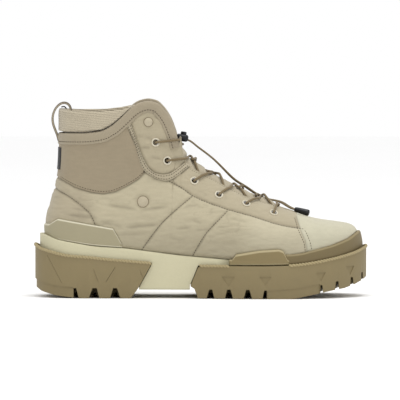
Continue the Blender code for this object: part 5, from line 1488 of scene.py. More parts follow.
def tread_parts(tread, bottom):
    """Arrow-shaped grooves under the middle of the sole."""
    parts = []
    for ends, point in tread:
        ends, point = ends * ALONG, point * ALONG
        half = float(plan_half(ends, SOLE_BACK, SOLE_FRONT, 0))
        reach = half - min(LUG_GROOVE_DEPTH, 0.7 * half) + 1 * MM
        middle, wide = float(shift(ends)), TREAD_WIDTH / 2
        high = float(straight(bottom, ends)) + TREAD_DEPTH
        corners = [
            (ends - wide, middle - reach), (ends + wide, middle - reach), (point + wide, middle),
            (ends + wide, middle + reach), (ends - wide, middle + reach), (point - wide, middle),
        ]
        parts.append(loft([[(x, y, z) for x, y in corners] for z in (-CUTTER_BELOW, high)]))
    return parts


def step_part(table, side, places):
    """Rings that cut the sole's side back below a line."""
    sections = []
    for x in places:
        edge, out = outline_edge(x, side)
        inner, outer = edge - out * 1.0 * MM, edge + out * 6 * MM
        high = float(straight(table, x))
        sections.append([(*inner, -CUTTER_BELOW), (*outer, -CUTTER_BELOW), (*outer, high), (*inner, high)])
    return sections


def wedge_parts():
    """Shallow pointed wedges in both sides of the forefoot unit."""
    parts = []
    for along, wide, high, point in WEDGES:
        for side in (-1, 1):
            inner, outer = [], []
            for a, b in ((along - wide, high), (along + wide, high), (along, point)):
                edge, out = outline_edge(a * ALONG, side)
                inner.append((*(edge - out * 0.7 * MM), b * UP))
                outer.append((*(edge + out * 4 * MM), b * UP))
            parts.append(loft([inner, outer]))
    return parts


def line_parts():
    """Fine moulded lines in both sides of the heel unit."""
    parts = []
    for x0, z0, x1, z1 in HEEL_LINES:
        for side in (-1, 1):
            rings = []
            for t in np.linspace(0, 1, 9):
                x, z = (x0 + t * (x1 - x0)) * MM, (z0 + t * (z1 - z0)) * MM
                edge, out = outline_edge(x, side)
                deep, proud = edge - out * 0.8 * MM, edge + out * 3 * MM
                rings.append([(*proud, z + 1.65 * MM), (*deep, z), (*proud, z - 1.65 * MM)])
            parts.append(loft(rings))
    return parts


def sole_half(x):
    return plan_half(x, SOLE_BACK, SOLE_FRONT, 0)


def make_outsoles():
    """Both rubber units: the solid form first, then its gaps, arrows, bands, lines and wedges."""
    places = stations(SOLE_BACK, HEEL_BOTTOM[-1][0] * ALONG, True, False, [HEEL_BOTTOM])
    points, faces = cross_sections(places, sole_half, outsole_ring(heel_top_height, HEEL_BOTTOM))
    heel = add("heel_unit", points, faces, SOLE_RUBBER, "outsole_rubber", ["outsole_heel"])
    reach = HEEL_STEP[-1][0] * ALONG
    round_places = SOLE_BACK + (reach - SOLE_BACK) * (1 - np.cos(np.radians(np.linspace(6, 90, 16))))
    band = step_part(HEEL_STEP, -1, round_places[::-1]) + step_part(HEEL_STEP, 1, round_places)

    places = stations(FORE_BOTTOM[0][0] * ALONG, SOLE_FRONT, False, True, [FORE_BOTTOM, FORE_TOP[:2]])
    points, faces = cross_sections(places, sole_half, outsole_ring(fore_top_height, FORE_BOTTOM))
    fore = add("forefoot_unit", points, faces, SOLE_RUBBER, "outsole_rubber", ["outsole_forefoot"])
    step_places = np.linspace(FORE_STEP[0][0], FORE_STEP[-1][0] - 0.02, 16) * ALONG

    for unit, name, parts in (
        (heel, "heel_gaps", groove_parts(HEEL_GROOVES)),
        (heel, "heel_arrows", tread_parts(HEEL_TREAD, HEEL_BOTTOM)),
        (heel, "heel_band", [loft(band)]),
        (heel, "heel_lines", line_parts()),
        (fore, "fore_gaps", groove_parts(FORE_GROOVES)),
        (fore, "fore_arrows", tread_parts(FORE_TREAD, FORE_BOTTOM)),
        (fore, "fore_bands", [loft(step_part(FORE_STEP, side, step_places)) for side in (-1, 1)]),
        (fore, "fore_wedges", wedge_parts()),
    ):
        cut(unit, name, parts)
    for unit in (heel, fore):
        rounded(unit, 0.35 * MM, 2, 35)
        shade(unit)


make_outsoles()


WING_TUCK_FROM, WING_TUCK_TO = 5.4, 8.1
CUTTER_BEYOND = 0.01


def midsole_half(x):
    """Half width of the foam: a lip beyond the upper, tucked in ahead under wing and rand."""
    under_rand = np.clip((x / ALONG - WING_TUCK_FROM) / (WING_TUCK_TO - WING_TUCK_FROM), 0, 1)
    lip = MIDSOLE_LIP - under_rand * (MIDSOLE_LIP + MIDSOLE_TUCK)
    return plan_half(x, MIDSOLE_BACK, UPPER_FRONT - MIDSOLE_TUCK, UPPER_SIDE_SET_IN - lip)


def midsole_ring(x):
    """The foam's cross-section, round at its top lip."""
    high = float(monotone(MIDSOLE_EDGE, x))
    low = MIDSOLE_BOTTOM_UP * UP
    return [
        (1.5 * MIDSOLE_DRAFT, high), (0.75 * MIDSOLE_DRAFT, high - 0.3 * MM), (0.35 * MIDSOLE_DRAFT, high - 1.0 * MM),
        (0.15 * MIDSOLE_DRAFT, high - 2.2 * MM), (0.0, (high + low) / 2), (0.0, low + 1.2 * MM), (1.2 * MM, low),
    ]


def make_midsole():
    """The foam cup, cut out below for both outsoles."""
    places = stations(MIDSOLE_BACK, UPPER_FRONT - MIDSOLE_TUCK, True, True)
    points, faces = cross_sections(places, midsole_half, midsole_ring)
    midsole = add("foam_midsole", points, faces, FOAM, "midsole_foam", ["midsole"])
    front, foot = HEEL_BOTTOM[-1], HEEL_BOTTOM[-2]
    clear = 2 * FIT
    seat = [(x, float(heel_top_height(x)) + FIT) for x in np.linspace(SOLE_BACK, front[0] * ALONG, 50)]
    seat[0] = (SOLE_BACK - CUTTER_BEYOND, seat[0][1])
    seat += [
        (front[0] * ALONG + clear, seat[-1][1]), (front[0] * ALONG + clear, front[1] * UP),
        (foot[0] * ALONG + clear, foot[1] * UP), (foot[0] * ALONG + clear, -CUTTER_BEYOND),
        (SOLE_BACK - CUTTER_BEYOND, -CUTTER_BEYOND),
    ]
    cut(midsole, "heel_seat", [prism(seat, -SOLE_BALL_WIDTH, SOLE_BALL_WIDTH)])
    start, shoulder = FORE_TOP[0], FORE_TOP[1]
    seat = [
        (start[0] * ALONG - clear, -CUTTER_BEYOND), (start[0] * ALONG - clear, start[1] * UP),
        (shoulder[0] * ALONG - clear, shoulder[1] * UP + FIT),
    ]
    seat += [(x, float(fore_top_height(x)) + FIT) for x in np.linspace(shoulder[0] * ALONG, SOLE_FRONT, 50)]
    seat += [(SOLE_FRONT + CUTTER_BEYOND, seat[-1][1]), (SOLE_FRONT + CUTTER_BEYOND, -CUTTER_BEYOND)]
    cut(midsole, "fore_seat", [prism(seat, -SOLE_BALL_WIDTH, SOLE_BALL_WIDTH)])
    shade(midsole)


make_midsole()


BEAD_LENGTH, BEAD_WIDTH, BEAD_PITCH = 4.9 * MM, 2.5 * MM, 3.05 * MM
BEAD_LEAN = math.radians(28)


def bead(centre, along, out, length=BEAD_LENGTH, width=BEAD_WIDTH):
    """One bead of the moulded rope edge, leaning along the edge."""
    up = np.cross(along, out)
    axis = math.cos(BEAD_LEAN) * along + math.sin(BEAD_LEAN) * up
    other = np.cross(axis, out)
    around = np.radians(np.arange(0, 360, 45))
    rings = []
    for turn in np.radians((-78, -50, -18, 18, 50, 78)):
        radius = width / 2 * math.cos(turn)
        middle = centre + axis * length / 2 * math.sin(turn)
        rings.append([middle + radius * (math.cos(a) * out + math.sin(a) * other) for a in around])
    return loft(rings)


def rope(top, start, end, round_back=False, round_front=False):
    """Beads along the top edge of an outsole, one pitch apart."""
    curved = (end - start) * (1 - np.cos(np.linspace(0, math.pi / 2, 200)))
    x = np.linspace(start, end, 300)
    x = np.unique(np.concatenate([x, start + curved if round_back else [], end - curved if round_front else []]))
    parts = []
    for side in (-1, 1):
        route = np.stack([x, shift(x) + side * (sole_half(x) - 0.5 * MM), top(x) - 0.1 * MM], axis=1)
        run = run_along(route)
        for at in np.arange(1.5 * MM, run[-1], BEAD_PITCH):
            behind, here, ahead = rows_at(np.array([at - 1 * MM, at, at + 1 * MM]), run, route)
            along = (ahead - behind) / np.linalg.norm(ahead - behind)
            out = -side * np.cross(along, (0, 0, 1))
            parts.append(bead(here, along, out / np.linalg.norm(out)))
    return parts


def make_ropes():
    heel = rope(heel_top_height, SOLE_BACK, HEEL_TOP[-1][0] * ALONG, round_back=True)
    add("heel_rope", *merged(heel), WELT_RUBBER, "outsole_rubber")
    fore = rope(fore_top_height, FORE_TOP[1][0] * ALONG + 1 * MM, WING[0][0] * ALONG - 0.5 * MM)
    fore += rope(fore_top_height, 82 * MM, SOLE_FRONT, round_front=True)
    add("forefoot_rope", *merged(fore), WELT_RUBBER, "outsole_rubber")


make_ropes()


def turn_to(point, out, along):
    """The place and turn of a round piece that sits on the last."""
    across = np.cross(out, along)
    return Matrix([[along[i], across[i], out[i], point[i]] for i in range(3)] + [[0, 0, 0, 1]])


def seats(places):
    """Where round pieces sit on the last: points, ways out and ways along."""
    points, outs = last_point(*places.T), last_normal(*places.T)
    along = last_point(places[:, 0] + 1e-4, places[:, 1]) - points
    along -= outs * np.einsum("ni,ni->n", along, outs)[:, None]
    return points, outs, along / np.linalg.norm(along, axis=1, keepdims=True)


def dressed(name, finish):
    """Name the active object, apply its place and give it its finish."""
    obj = bpy.context.view_layer.objects.active
    obj.name = obj.data.name = name
    bpy.ops.object.transform_apply(location=True, rotation=True, scale=True)
    obj.data.materials.clear()
    obj.data.materials.append(finish)
    obj.data.shade_smooth()
    return obj


def copy_to(model, name, matrix, nodes=()):
    mesh = model.data.copy()
    mesh.transform(matrix)
    return carry(link(name, mesh), nodes)


EYELET_HOLE = 2.6 * MM
EYELET_TUBE = 0.75 * MM
EYELET_SUNK = 0.55 * MM
SNAP_HEIGHT = 2.0 * MM
SNAP_SHADOW_RING_TUBE = 0.26 * MM
SNAP_SUNK = 0.5 * MM


def pierce_shell():
    """Round holes through the shell under the eyelets."""
    holes = []
    for places in (EYELET_PLACES, MEDIAL_PLACES):
        for point, out, along in zip(*seats(places)):
            across = np.cross(out, along)
            turn = np.radians(np.arange(0, 360, 15))[:, None]
            ring = EYELET_HOLE * (np.cos(turn) * along + np.sin(turn) * across)
            holes.append(loft([point + ring + h * out for h in (-2.6 * WALL, 1.5 * WALL)]))
    cut(SHELL, "lace_holes", holes)


pierce_shell()


def make_eyelets():
    clear_selection()
    bpy.ops.mesh.primitive_torus_add(
        major_segments=28, minor_segments=12, location=(0, 0, 0),
        major_radius=EYELET_RADIUS - EYELET_TUBE, minor_radius=EYELET_TUBE,
    )
    model = dressed("ring_model", RING)
    for side, places in (("lateral", EYELET_PLACES), ("medial", MEDIAL_PLACES)):
        for number, (point, out, along) in enumerate(zip(*seats(places)), 1):
            at = turn_to(point + out * EYELET_SUNK, out, along)
            copy_to(model, f"ring_{side}_{number}", at, [f"eyelet_{side}_{number}"])
    bpy.data.objects.remove(model)


def make_snaps():
    """Covered caps with a fine dark ring of painted shadow where they press into the cloth."""
    for (name, _, _, radius), place in zip(SNAPS, SNAP_PLACES):
        clear_selection()
        bpy.ops.mesh.primitive_uv_sphere_add(segments=28, ring_count=14, radius=1, location=(0, 0, 0))
        bpy.context.object.scale = (radius, radius, SNAP_HEIGHT)
        cap = dressed("snap_model", SNAP)
        # Painted shadow: a thin dark ring round the cap
        clear_selection()
        bpy.ops.mesh.primitive_torus_add(
            major_segments=28, minor_segments=6, location=(0, 0, 0),
            major_radius=radius + 0.1 * MM, minor_radius=SNAP_SHADOW_RING_TUBE,
        )
        rim = dressed("snap_rim_model", SHADOW)
        for side, there in (("lateral", place), ("medial", mirrored(place))):
            point, out, along = (row[0] for row in seats(there[None]))
            at = turn_to(point + out * SNAP_SUNK, out, along)
            copy_to(cap, f"snap_cap_{side}_{name}", at, [f"snap_{side}_{name}"])
            copy_to(rim, f"snap_shadow_ring_{side}_{name}", at)
        bpy.data.objects.remove(cap)
        bpy.data.objects.remove(rim)


make_eyelets()
make_snaps()


# Tongue
TONGUE_THICKNESS = 0.0042
TONGUE_FLANK = 0.11
TONGUE_CLEARANCE = 0.0010
TONGUE_NARROWING = 0.12
FLAP_OPENS = 84.0
RIDGE_ROWS = np.array([(a * ALONG, b * UP) for a, b in RIDGE])
RIDGE_RUN = run_along(RIDGE_ROWS)
RIDGE_CURVE = Spline(RIDGE_RUN / RIDGE_RUN[-1])


def ridge_point(share):
    """Points along the tongue's middle, from its top end down to the vamp."""
    x, z = (RIDGE_CURVE.weights(np.atleast_1d(share)) @ RIDGE_ROWS).T
    return np.stack([x, 0 * x, z], axis=1)


def tongue_face():
    """The tongue's face [section, point across], medial edge first, from its top end to the vamp."""
    u = np.linspace(AROUND[3], AROUND[9], 420)
    v = trim(u)
    top = last_point(u, v)
    kept = (top[:, 2] < FLAP_OPENS * UP) & (u > AROUND[3] + 1e-6)
    u, v, top = u[kept], v[kept], top[kept]
    ridge = ridge_point(np.linspace(0, 1, 600))
    seat = np.array([np.argmin(np.hypot(*(ridge - p)[:, [0, 2]].T)) for p in top]) / 599
    order = np.argsort(seat, kind="stable")
    u, v, seat = u[order], v[order], seat[order]
    pick = np.unique(np.searchsorted(seat, np.linspace(seat[0], seat[-1], 60)).clip(0, len(seat) - 1))
    u, v, seat = u[pick], v[pick], seat[pick]
    under = WALL + TONGUE_CLEARANCE + np.where(v < 1, BINDING_THICKNESS + OVERLAY_FIT, 0)
    rows = []
    middle = ridge_point(seat)
    for columns in (1 - u, u):
        edge = off_last(columns, v - 0.01, -under)
        side = []
        for t in (0.0, 0.4, 0.75):
            rise = (1 - t * t) ** 0.8
            point = edge + (middle - edge) * np.array([rise, 0, rise])
            point[:, 1] = edge[:, 1] * t
            side.append(point)
        side += [edge, off_last(columns, v - TONGUE_FLANK, -under)]
        rows.append(np.stack(side, axis=1))
    face = np.concatenate([rows[0][:, :0:-1], rows[1]], axis=1)
    above, below = [], []
    for share in (0.25, 0.5, 0.75, 1.0):
        above.insert(0, face[0] + share * (ridge_point(0.0) - ridge_point(seat[:1])))
        below.append(face[-1] + ridge_point(seat[-1] + share * (1 - seat[-1])) - ridge_point(seat[-1:]))
        above[0][:, 1] *= 1 - share * TONGUE_NARROWING
        below[-1][:, 1] *= 1 - share * TONGUE_NARROWING
    return np.concatenate([above, face, below])


def smoothed(rows, times):
    """Rows drawn towards the mean of their neighbours, with both ends kept."""
    for _ in range(times):
        inner = 0.25 * rows[:-2] + 0.5 * rows[1:-1] + 0.25 * rows[2:]
        rows = np.concatenate([rows[:1], inner, rows[-1:]])
    return rows


FACE = smoothed(tongue_face(), 4)
TONGUE_ROWS = 170
TONGUE_ACROSS = 61


def fine_tongue():
    """The tongue's face as a fine even grid [along, across]."""
    count = FACE.shape[1]
    run = run_along(FACE[:, count // 2])
    across = Spline(np.linspace(-1, 1, count)).weights(np.linspace(-1, 1, TONGUE_ACROSS))
    even = np.linspace(0, run[-1], TONGUE_ROWS)
    rows = np.stack([rows_at(even, run, FACE[:, k]) for k in range(count)], axis=1)
    return np.einsum("ak,rki->rai", across, rows)


TONGUE_GRID = smoothed(fine_tongue(), 6)


def grid_normal(grid):
    normal = np.cross(np.gradient(grid, axis=0), np.gradient(grid, axis=1))
    normal *= np.sign(normal[:, grid.shape[1] // 2, 2])[:, None, None]
    return normal / np.linalg.norm(normal, axis=2, keepdims=True)


TONGUE_OUT = grid_normal(TONGUE_GRID)


def tongue_point(x, across):
    """A point of the tongue at x, across from -1 (lateral edge) to 1 (medial edge), and its way out."""
    middle = (TONGUE_ACROSS - 1) / 2
    k = int(round(middle - across * 0.75 * middle))
    line = TONGUE_GRID[:, k]
    row = int(np.argmin(np.abs(line[:, 0] - x)))
    return line[row], TONGUE_OUT[row, k]


# Lace
LACE_OVER_EYELET = LACE_RADIUS + 1.9 * MM
ABOVE = LACE_RADIUS + 1.1 * MM
CROSS_LIFT = 1.0 * MM
CROSS_UNDER = -0.8 * MM
LACE_POINT_STEP = 0.5 * MM
LACE_CORNER = 1.25 * MM


def throat_edge(x, side):
    """The place on the throat's edge at x."""
    u = np.linspace(AROUND[3], AROUND[10], 300)
    v = trim(u)
    top = last_point(u, v)
    kept = top[:, 2] < FLAP_OPENS * UP
    order = np.argsort(top[kept, 0])
    u, v = (np.interp(x, top[kept, 0][order], row[kept][order]) for row in (u, v))
    return (u, v) if side < 0 else (1 - u, v)


def over_throat(start, edge_x, ridge_x, lift, side):
    """Lace points out of an eyelet, over the throat's edge and up to the tongue's middle."""
    point, out = last_point(*start), last_normal(*start)
    edge = throat_edge(edge_x, side)
    over = OVERLAY_FIT + BINDING_THICKNESS if edge[1] < 1 else 0.0
    ridge, way = tongue_point(ridge_x, 0.0)
    half, half_way = tongue_point((edge_x + ridge_x) / 2 + 0.5 * MM, side * -0.45)
    return [
        point - (WALL + 2.6 * MM) * out,
        point - 0.5 * WALL * out,
        point + 1.2 * MM * out,
        point + 0.55 * (off_last(*edge, ABOVE + over) - point) + LACE_OVER_EYELET * 0.9 * out,
        off_last(*edge, ABOVE + over + 0.4 * MM),
        half + (ABOVE + lift * 0.4) * half_way,
        ridge + (ABOVE + lift) * way,
    ]


def under_far_edge(goal, ridge_x, side):
    """Lace points from the tongue's middle under the far edge, to below the next eyelet."""
    end, out = last_point(*goal), last_normal(*goal)
    near, near_way = tongue_point(ridge_x + 0.35 * (end[0] - ridge_x), side * 0.45)
    edge, edge_way = tongue_point(ridge_x + 0.72 * (end[0] - ridge_x), side * 0.86)
    return [
        near + (0.75 * ABOVE) * near_way,
        edge + 0.2 * MM * edge_way,
        end - (WALL + 2.4 * MM) * out + 0.06 * (edge - end),
    ]


def lace_line(first):
    """Middle of one lace end's whole run, from its top eyelet to the lowest."""
    sides = {-1: EYELET_PLACES, 1: MEDIAL_PLACES}
    lift = CROSS_LIFT if first < 0 else CROSS_UNDER
    points = []
    side = first
    for number, (edge, ridge, back) in enumerate(CROSSINGS[:-1]):
        behind = back if first > 0 else 0.0
        ridge_x = (ridge - behind) * ALONG
        points += over_throat(sides[side][number], (edge - 0.5 * behind) * ALONG, ridge_x, lift, side)
        points += under_far_edge(sides[-side][number + 1], ridge_x, side)
        side = -side
    edge, ridge, _ = CROSSINGS[-1]
    points += over_throat(sides[side][-1], edge * ALONG, ridge * ALONG, 0.0, side)
    return points


def evened(points, step, sigma):
    """Points step apart along a route, rounded at its corners."""
    points = np.array(points, float)
    run = run_along(points)
    dense = rows_at(np.linspace(0, run[-1], int(run[-1] / step) + 1), run, points)
    reach = int(4 * sigma / step)
    kernel = np.exp(-0.5 * (np.arange(-reach, reach + 1) * step / sigma) ** 2)
    kernel /= kernel.sum()
    before = 2 * dense[0] - dense[reach:0:-1]
    after = 2 * dense[-1] - dense[-2:-reach - 2:-1]
    held = np.concatenate([before, dense, after])
    return np.stack([np.convolve(held[:, i], kernel, "valid") for i in range(3)], axis=1)


def tube(route, radius, sides=12):
    """A round cord along dense points: points, faces and the run and turn of each corner."""
    route = np.asarray(route, float)
    ways = np.gradient(route, axis=0)
    ways /= np.linalg.norm(ways, axis=1, keepdims=True)
    first = np.cross(ways[0], (0.13, 0.31, 1.0))
    rows = [first / np.linalg.norm(first)]
    for way in ways[1:]:
        row = rows[-1] - way * np.dot(rows[-1], way)
        rows.append(row / np.linalg.norm(row))
    rows = np.array(rows)
    other = np.cross(ways, rows)
    angles = (np.arange(sides) * 2 * math.pi / sides)[None, :, None]
    rings = route[:, None] + radius * (np.cos(angles) * rows[:, None] + np.sin(angles) * other[:, None])
    points, faces = loft(rings)
    run = run_along(route)
    uvs = []
    for s in range(len(route) - 1):
        for k in range(sides):
            a, b = k / sides, (k + 1) / sides
            uvs += [(run[s], a), (run[s], b), (run[s + 1], b), (run[s + 1], a)]
    uvs += [(run[0], k / sides) for k in range(sides)] + [(run[-1], k / sides) for k in range(sides)]
    return points, faces, uvs, run[-1]


def add_cord(name, route, radius, finish, nodes, sides=12):
    """A cord piece and its length."""
    points, faces, uvs, length = tube(route, radius, sides)
    mesh = bpy.data.meshes.new(name)
    mesh.from_pydata(points.tolist(), [], faces)
    mesh.materials.append(finish)
    lay_run(mesh, uvs)
    mesh.flip_normals()
    mesh.shade_smooth()
    return carry(link(name, mesh), nodes), length


def lock_leads(side):
    """Lace points from the cord lock's back down to below the top eyelet on one side."""
    start = EYELET_PLACES[0] if side < 0 else MEDIAL_PLACES[0]
    point, out = last_point(*start), last_normal(*start)
    way = LOCK_WAY.normalized()
    back = np.array(LOCK_CENTRE - way * 0.0046) + np.array([0, side * 0.0018, 0])
    behind = np.array(LOCK_CENTRE - way * 0.0085) + np.array([0, side * 0.0030, 0.0002])
    near, near_way = tongue_point(-27 * MM, side * -0.30)
    far, far_way = tongue_point(-30 * MM, side * -0.75)
    return [back, behind, near + 2.2 * MM * near_way, far + 1.4 * MM * far_way, point - (WALL + 2.6 * MM) * out]


def make_lace():
    nodes = [f"lace_cross_{n}" for n in range(1, 6)] + ["lace_bar"]
    left, right = lace_line(-1), lace_line(1)
    route = lock_leads(-1) + left + right[::-1][1:] + lock_leads(1)[::-1]
    return add_cord("lace", evened(route, LACE_POINT_STEP, LACE_CORNER), LACE_RADIUS, LACE, nodes)[0]


LACE_PIECE = make_lace()
LOCK_SIZE = (11.2 * MM, 10.0 * MM, 6.6 * MM)
LOCK_ROUND = 2.4 * MM
BUTTON_RADIUS, BUTTON_HEIGHT, BUTTON_ROUND = 2.7 * MM, 3.4 * MM, 0.8 * MM
BUTTON_AT = LOCK_CENTRE + Vector((1.2, 0, 4.0)) * MM
# The end cap: share of its length, and radius in millimetres
END_CAP_FORM = (
    (0.0, 1.3), (0.015, 1.9), (0.05, 2.15), (0.15, 2.4), (0.5, 2.8), (0.82, 3.05), (0.92, 2.95), (0.98, 2.5),
    (1.0, 1.7),
)


def make_lock():
    """A rounded block that the lace ends leave at the back, with a button on top."""
    turn = LOCK_WAY.to_track_quat("X", "Z").to_euler()
    clear_selection()
    bpy.ops.mesh.primitive_cube_add(size=1, location=LOCK_CENTRE, rotation=turn, scale=LOCK_SIZE)
    bpy.ops.object.transform_apply(location=True, rotation=True, scale=True)
    rounded(bpy.context.object, LOCK_ROUND, 5)
    carry(dressed("lace_lock", BLACK_PLASTIC), ["cord_lock"])
    clear_selection()
    bpy.ops.mesh.primitive_cylinder_add(
        vertices=28, radius=BUTTON_RADIUS, depth=BUTTON_HEIGHT, location=BUTTON_AT, rotation=(0, turn.y, 0),
    )
    rounded(bpy.context.object, BUTTON_ROUND, 3, 30)
    carry(dressed("lock_button", BLACK_PLASTIC))


def make_end_cap():
    start, end = np.array(END_CAP_FROM), np.array(END_CAP_TO)
    way = (end - start) / np.linalg.norm(end - start)
    side = np.cross(way, (0.0, 0.0, 1.0))
    side /= np.linalg.norm(side)
    up = np.cross(side, way)
    around = np.radians(np.arange(0, 360, 15))[:, None]
    ring = np.cos(around) * side + np.sin(around) * up
    rings = [start + share * (end - start) + radius * MM * ring for share, radius in END_CAP_FORM]
    return add("end_cap", *loft(rings), BLACK_PLASTIC, "lock_plastic", ["cord_end"])


make_lock()
END_CAP = make_end_cap()
TAIL_IN_LOCK = np.array([-2.6, 0, 1.0]) * MM
TAIL_IN_CAP = 0.06
TAILS_APART_IN_CAP = 0.95 * MM


def make_tails():
    """The two free tails, side by side from inside the lock into the end cap."""
    for name, side in (("lateral", -1), ("medial", 1)):
        middle = np.array(TAIL_ROUTE)
        ways = np.gradient(middle, axis=0)
        beside = np.stack([-ways[:, 1], ways[:, 0], 0 * ways[:, 0]], axis=1)
        beside /= np.linalg.norm(beside, axis=1, keepdims=True)
        route = middle + side * TAIL_APART / 2 * beside
        tip = np.array(END_CAP_FROM.lerp(END_CAP_TO, TAIL_IN_CAP)) + (0, side * TAILS_APART_IN_CAP, 0)
        dense = smooth_route([route[0] + TAIL_IN_LOCK, *route, tip], 301)
        tail, length = add_cord("tail_cord_" + name, dense, TAIL_RADIUS, TAIL, ["tail_" + name], sides=10)


make_tails()


def make_tongue():
    """The padded tongue, dented where the laces press on it."""
    laces = np.array([vertex.co for vertex in LACE_PIECE.data.vertices])[::12]
    flat = TONGUE_GRID[..., [0, 1]].reshape(-1, 2)
    bump = 0.35 * MM * ripples(flat, 4.5 * MM, 9 * MM, 21) + 0.2 * MM * ripples(flat, 2.2 * MM, 5 * MM, 22)
    puff = (0.4 * MM + bump).reshape(TONGUE_GRID.shape[:2])
    face = TONGUE_GRID + puff[..., None] * TONGUE_OUT
    gap = np.full(face.shape[:2], 1.0)
    for start in range(0, len(laces), 200):
        away = np.linalg.norm(face[:, :, None] - laces[None, None, start:start + 200], axis=3)
        gap = np.minimum(gap, away.min(axis=2))
    dent = np.clip(2.6 * MM - gap, 0, 1.6 * MM)
    face = face - dent[..., None] * TONGUE_OUT
    back = TONGUE_GRID - TONGUE_THICKNESS * TONGUE_OUT
    points, faces, _ = wrap(np.swapaxes(face, 0, 1), np.swapaxes(back, 0, 1), False)
    tongue = add("padded_tongue", points, faces, TONGUE, "tongue_fabric", ["tongue"])


make_tongue()


def band(name, route, width, thickness, count, finishes, slot, nodes, edge=0.35):
    """A band of webbing along a route in the middle plane, its edges rounded."""
    route = smooth_route([(a * ALONG, 0, b * UP) for a, b in route], count)
    ways = np.gradient(route, axis=0)
    ways /= np.linalg.norm(ways, axis=1, keepdims=True)
    out = np.stack([-ways[:, 2], 0 * ways[:, 0], ways[:, 0]], axis=1)
    profile = [(a * width / 2, thickness / 2 * (edge if abs(a) == 1 else 1)) for a in np.linspace(-1, 1, 9)]
    profile += [(y, -h) for y, h in profile[::-1]]
    rings = np.stack([route + out * h + np.array([0, y, 0]) for y, h in profile], axis=1)
    points, faces = loft(rings)
    uvs = corners(run_along(route), np.array(profile)[:, 0], faces)
    size = len(profile)
    which = np.array([k % size >= size // 2 - 1 for k in range(len(faces))])
    add(name, points, faces, finishes, slot, nodes, which=which if len(finishes) > 1 else None, uvs=uvs)


LOOP_WIDTH, LOOP_THICKNESS = 12 * MM, 2.0 * MM
TAB_THICKNESS = 1.0 * MM
TAB_SIDES = [corner[1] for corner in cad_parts["collar_tab"].bound_box]
TAB_WIDTH = max(TAB_SIDES) - min(TAB_SIDES)
band("heel_loop", LOOP_ROUTE, LOOP_WIDTH, LOOP_THICKNESS, 150, [LOOP_IN, LOOP_OUT], "webbing", ["pull_loop"])
band("cuff_tab", TAB_ROUTE, TAB_WIDTH, TAB_THICKNESS, 24, [LABEL], "label_weave", ["collar_tab"])
LABEL_WIDTH = 31 * MM


def flat_level(u, up):
    """How far up each column lies a height, in hundredths of the boot's."""
    return level_at(u, lambda x: np.full(np.shape(x), up * UP))


def make_label():
    """The blank woven label sewn on at the back."""
    u = np.linspace(-0.05, 0.05, 401)
    across = last_point(u, flat_level(u, 70))[:, 1]
    u = np.interp(np.linspace(0.5, -0.5, 25) * LABEL_WIDTH, across[::-1], u[::-1])
    low, high = (flat_level(u, up) for up in LABEL_UP)
    points, faces, _ = patch(u, low, high, 0.7 * MM, 0.4 * MM, base=0.7 * MM, rows=10)
    uvs = grid_corners(points[:, [2, 1]], faces)
    add("woven_label", points, faces, LABEL, "label_weave", ["heel_label"], uvs=uvs)


make_label()


# Stitches: along each stitch, its share of the length and of the radius
STITCH_FORM = np.array(((0, 0.3), (0.12, 0.85), (0.5, 1.0), (0.88, 0.85), (1.0, 0.3)))
PANEL_ROW_LIFT = 0.62 * MM
TAPE_ROW_LIFT = 1.38 * MM
TAPE_ROW_COLUMNS = (2, 6)
THROAT_ROW_IN = 3.2 * MM
BINDING_ROW_DOWN, BINDING_ROW_LIFT = 0.72, 1.6 * MM


def stitch_row(points, outs, pitch=2.5 * MM, length=1.6 * MM, radius=0.30 * MM):
    """Stitches half sunk along a dense line."""
    run = run_along(points)
    around = np.radians(np.arange(0, 360, 60))[:, None]
    parts = []
    for at in np.arange(pitch / 2, run[-1] - length, pitch):
        spots = rows_at(at + length * STITCH_FORM[:, 0], run, points)
        way = spots[-1] - spots[0]
        side = np.cross(way, rows_at(at, run, outs))
        side /= np.linalg.norm(side)
        out = np.cross(side, way)
        out /= np.linalg.norm(out)
        ring = radius * (np.cos(around) * side + np.sin(around) * out)
        parts.append(loft([spot + size * ring for spot, size in zip(spots, STITCH_FORM[:, 1])]))
    return parts


def shifted(table, move):
    return [(x + move[0], z + move[1]) for x, z in table]


def over_last(places, lift):
    """Points at a lift over the last and the ways out of it, for a piece that lies on the cloth."""
    return off_last(*places.T, np.full(len(places), lift)), last_normal(*places.T)


def both_sides(table):
    """Places of a side route's dense line on the lateral and the medial side."""
    places = locate(smooth_route(np.array(table) * MM, 4 * len(table) + 20))
    return places, mirrored(places)


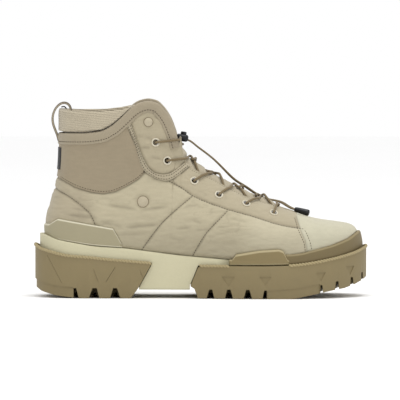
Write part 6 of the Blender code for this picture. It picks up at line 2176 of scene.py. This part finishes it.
def make_stitches():
    rows = []
    for table in (HEEL_SEAM, EYESTAY_SEAM, BACK_QUILT_SEAM, FRONT_QUILT_SEAM, VAMP_ROW):
        rows += [skin(there, 0.05 * MM) for there in both_sides(table)]
    rows += [skin(there) for there in both_sides(shifted(QUARTER_FRONT, (-2.0, -0.3)))]
    rows += [over_last(there, PANEL_ROW_LIFT) for there in both_sides(shifted(PANEL_LOW[2:], (0.2, 1.9)))]
    stitches = [stitch for points, outs in rows for stitch in stitch_row(points, outs)]

    u = np.linspace(column_at(-13 * MM, 128 * MM), column_at(84 * MM, 72 * MM), 200)
    throat = np.stack([u, 1 - THROAT_ROW_IN / rate_at(u, np.full(len(u), 0.97))], axis=1)
    for there in (throat, mirrored(throat)):
        stitches += stitch_row(*skin(there, -0.05 * MM), 2.2 * MM, 1.3 * MM, 0.2 * MM)
    for column in TAPE_ROW_COLUMNS:
        for there in (TAPE_PLACES[:, column], mirrored(TAPE_PLACES[:, column])):
            points, _ = over_last(np.minimum(there, (np.inf, 0.999)), TAPE_ROW_LIFT)
            stitches += stitch_row(points, last_normal(*there.T))
    bound = walk(BOUND_PLACES, -BINDING_ROW_DOWN * BINDING_WIDTH * BOUND_AWAY)
    stitches += stitch_row(*over_last(bound, BINDING_ROW_LIFT))
    add("seam_stitches", *merged(stitches), THREAD_AND_HOLE_SHADE, "quilted_fabric")


make_stitches()


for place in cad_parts["insole"].material_slots:
    place.material = INSOLE


# Floor, light and picture
LIGHT_TARGET = Vector((0.0, 0.0, 0.08))


def make_stage():
    clear_selection()
    bpy.ops.mesh.primitive_plane_add(size=8, location=(0, 0, -0.0002))
    floor = bpy.context.object
    floor.name = "floor"
    paper = Finish("floor_paper", 0.9, specular_ior_level=0.1)
    paper.colour(paper.shaded(paper.constant((0.96, 0.96, 0.96)), 0.99 + paper.noise(0.4) * 0.02))
    floor.data.materials.append(paper.material)


def make_light(name, place, size, power):
    """A soft rectangle of light that faces the boot."""
    data = bpy.data.lights.new(name, "AREA")
    data.shape = "RECTANGLE"
    data.size, data.size_y = size
    data.energy = power
    light = link(name, data)
    light.location = place
    light.rotation_euler = (LIGHT_TARGET - Vector(place)).to_track_quat("-Z", "Y").to_euler()


def make_world():
    world = bpy.data.worlds.new("studio")
    bpy.context.scene.world = world
    world.use_nodes = True
    back = next(n for n in world.node_tree.nodes if n.type == "BACKGROUND")
    back.inputs["Color"].default_value = (1, 1, 1, 1)
    back.inputs["Strength"].default_value = 1.0


make_stage()
make_world()
make_light("overhead", (0.15, -0.35, 1.7), (0.9, 0.8), 13)
make_light("front", (0.5, -1.9, 0.9), (0.8, 0.8), 3)
bpy.context.scene.view_settings.view_transform = "Standard"
bpy.context.scene.view_settings.look = "None"
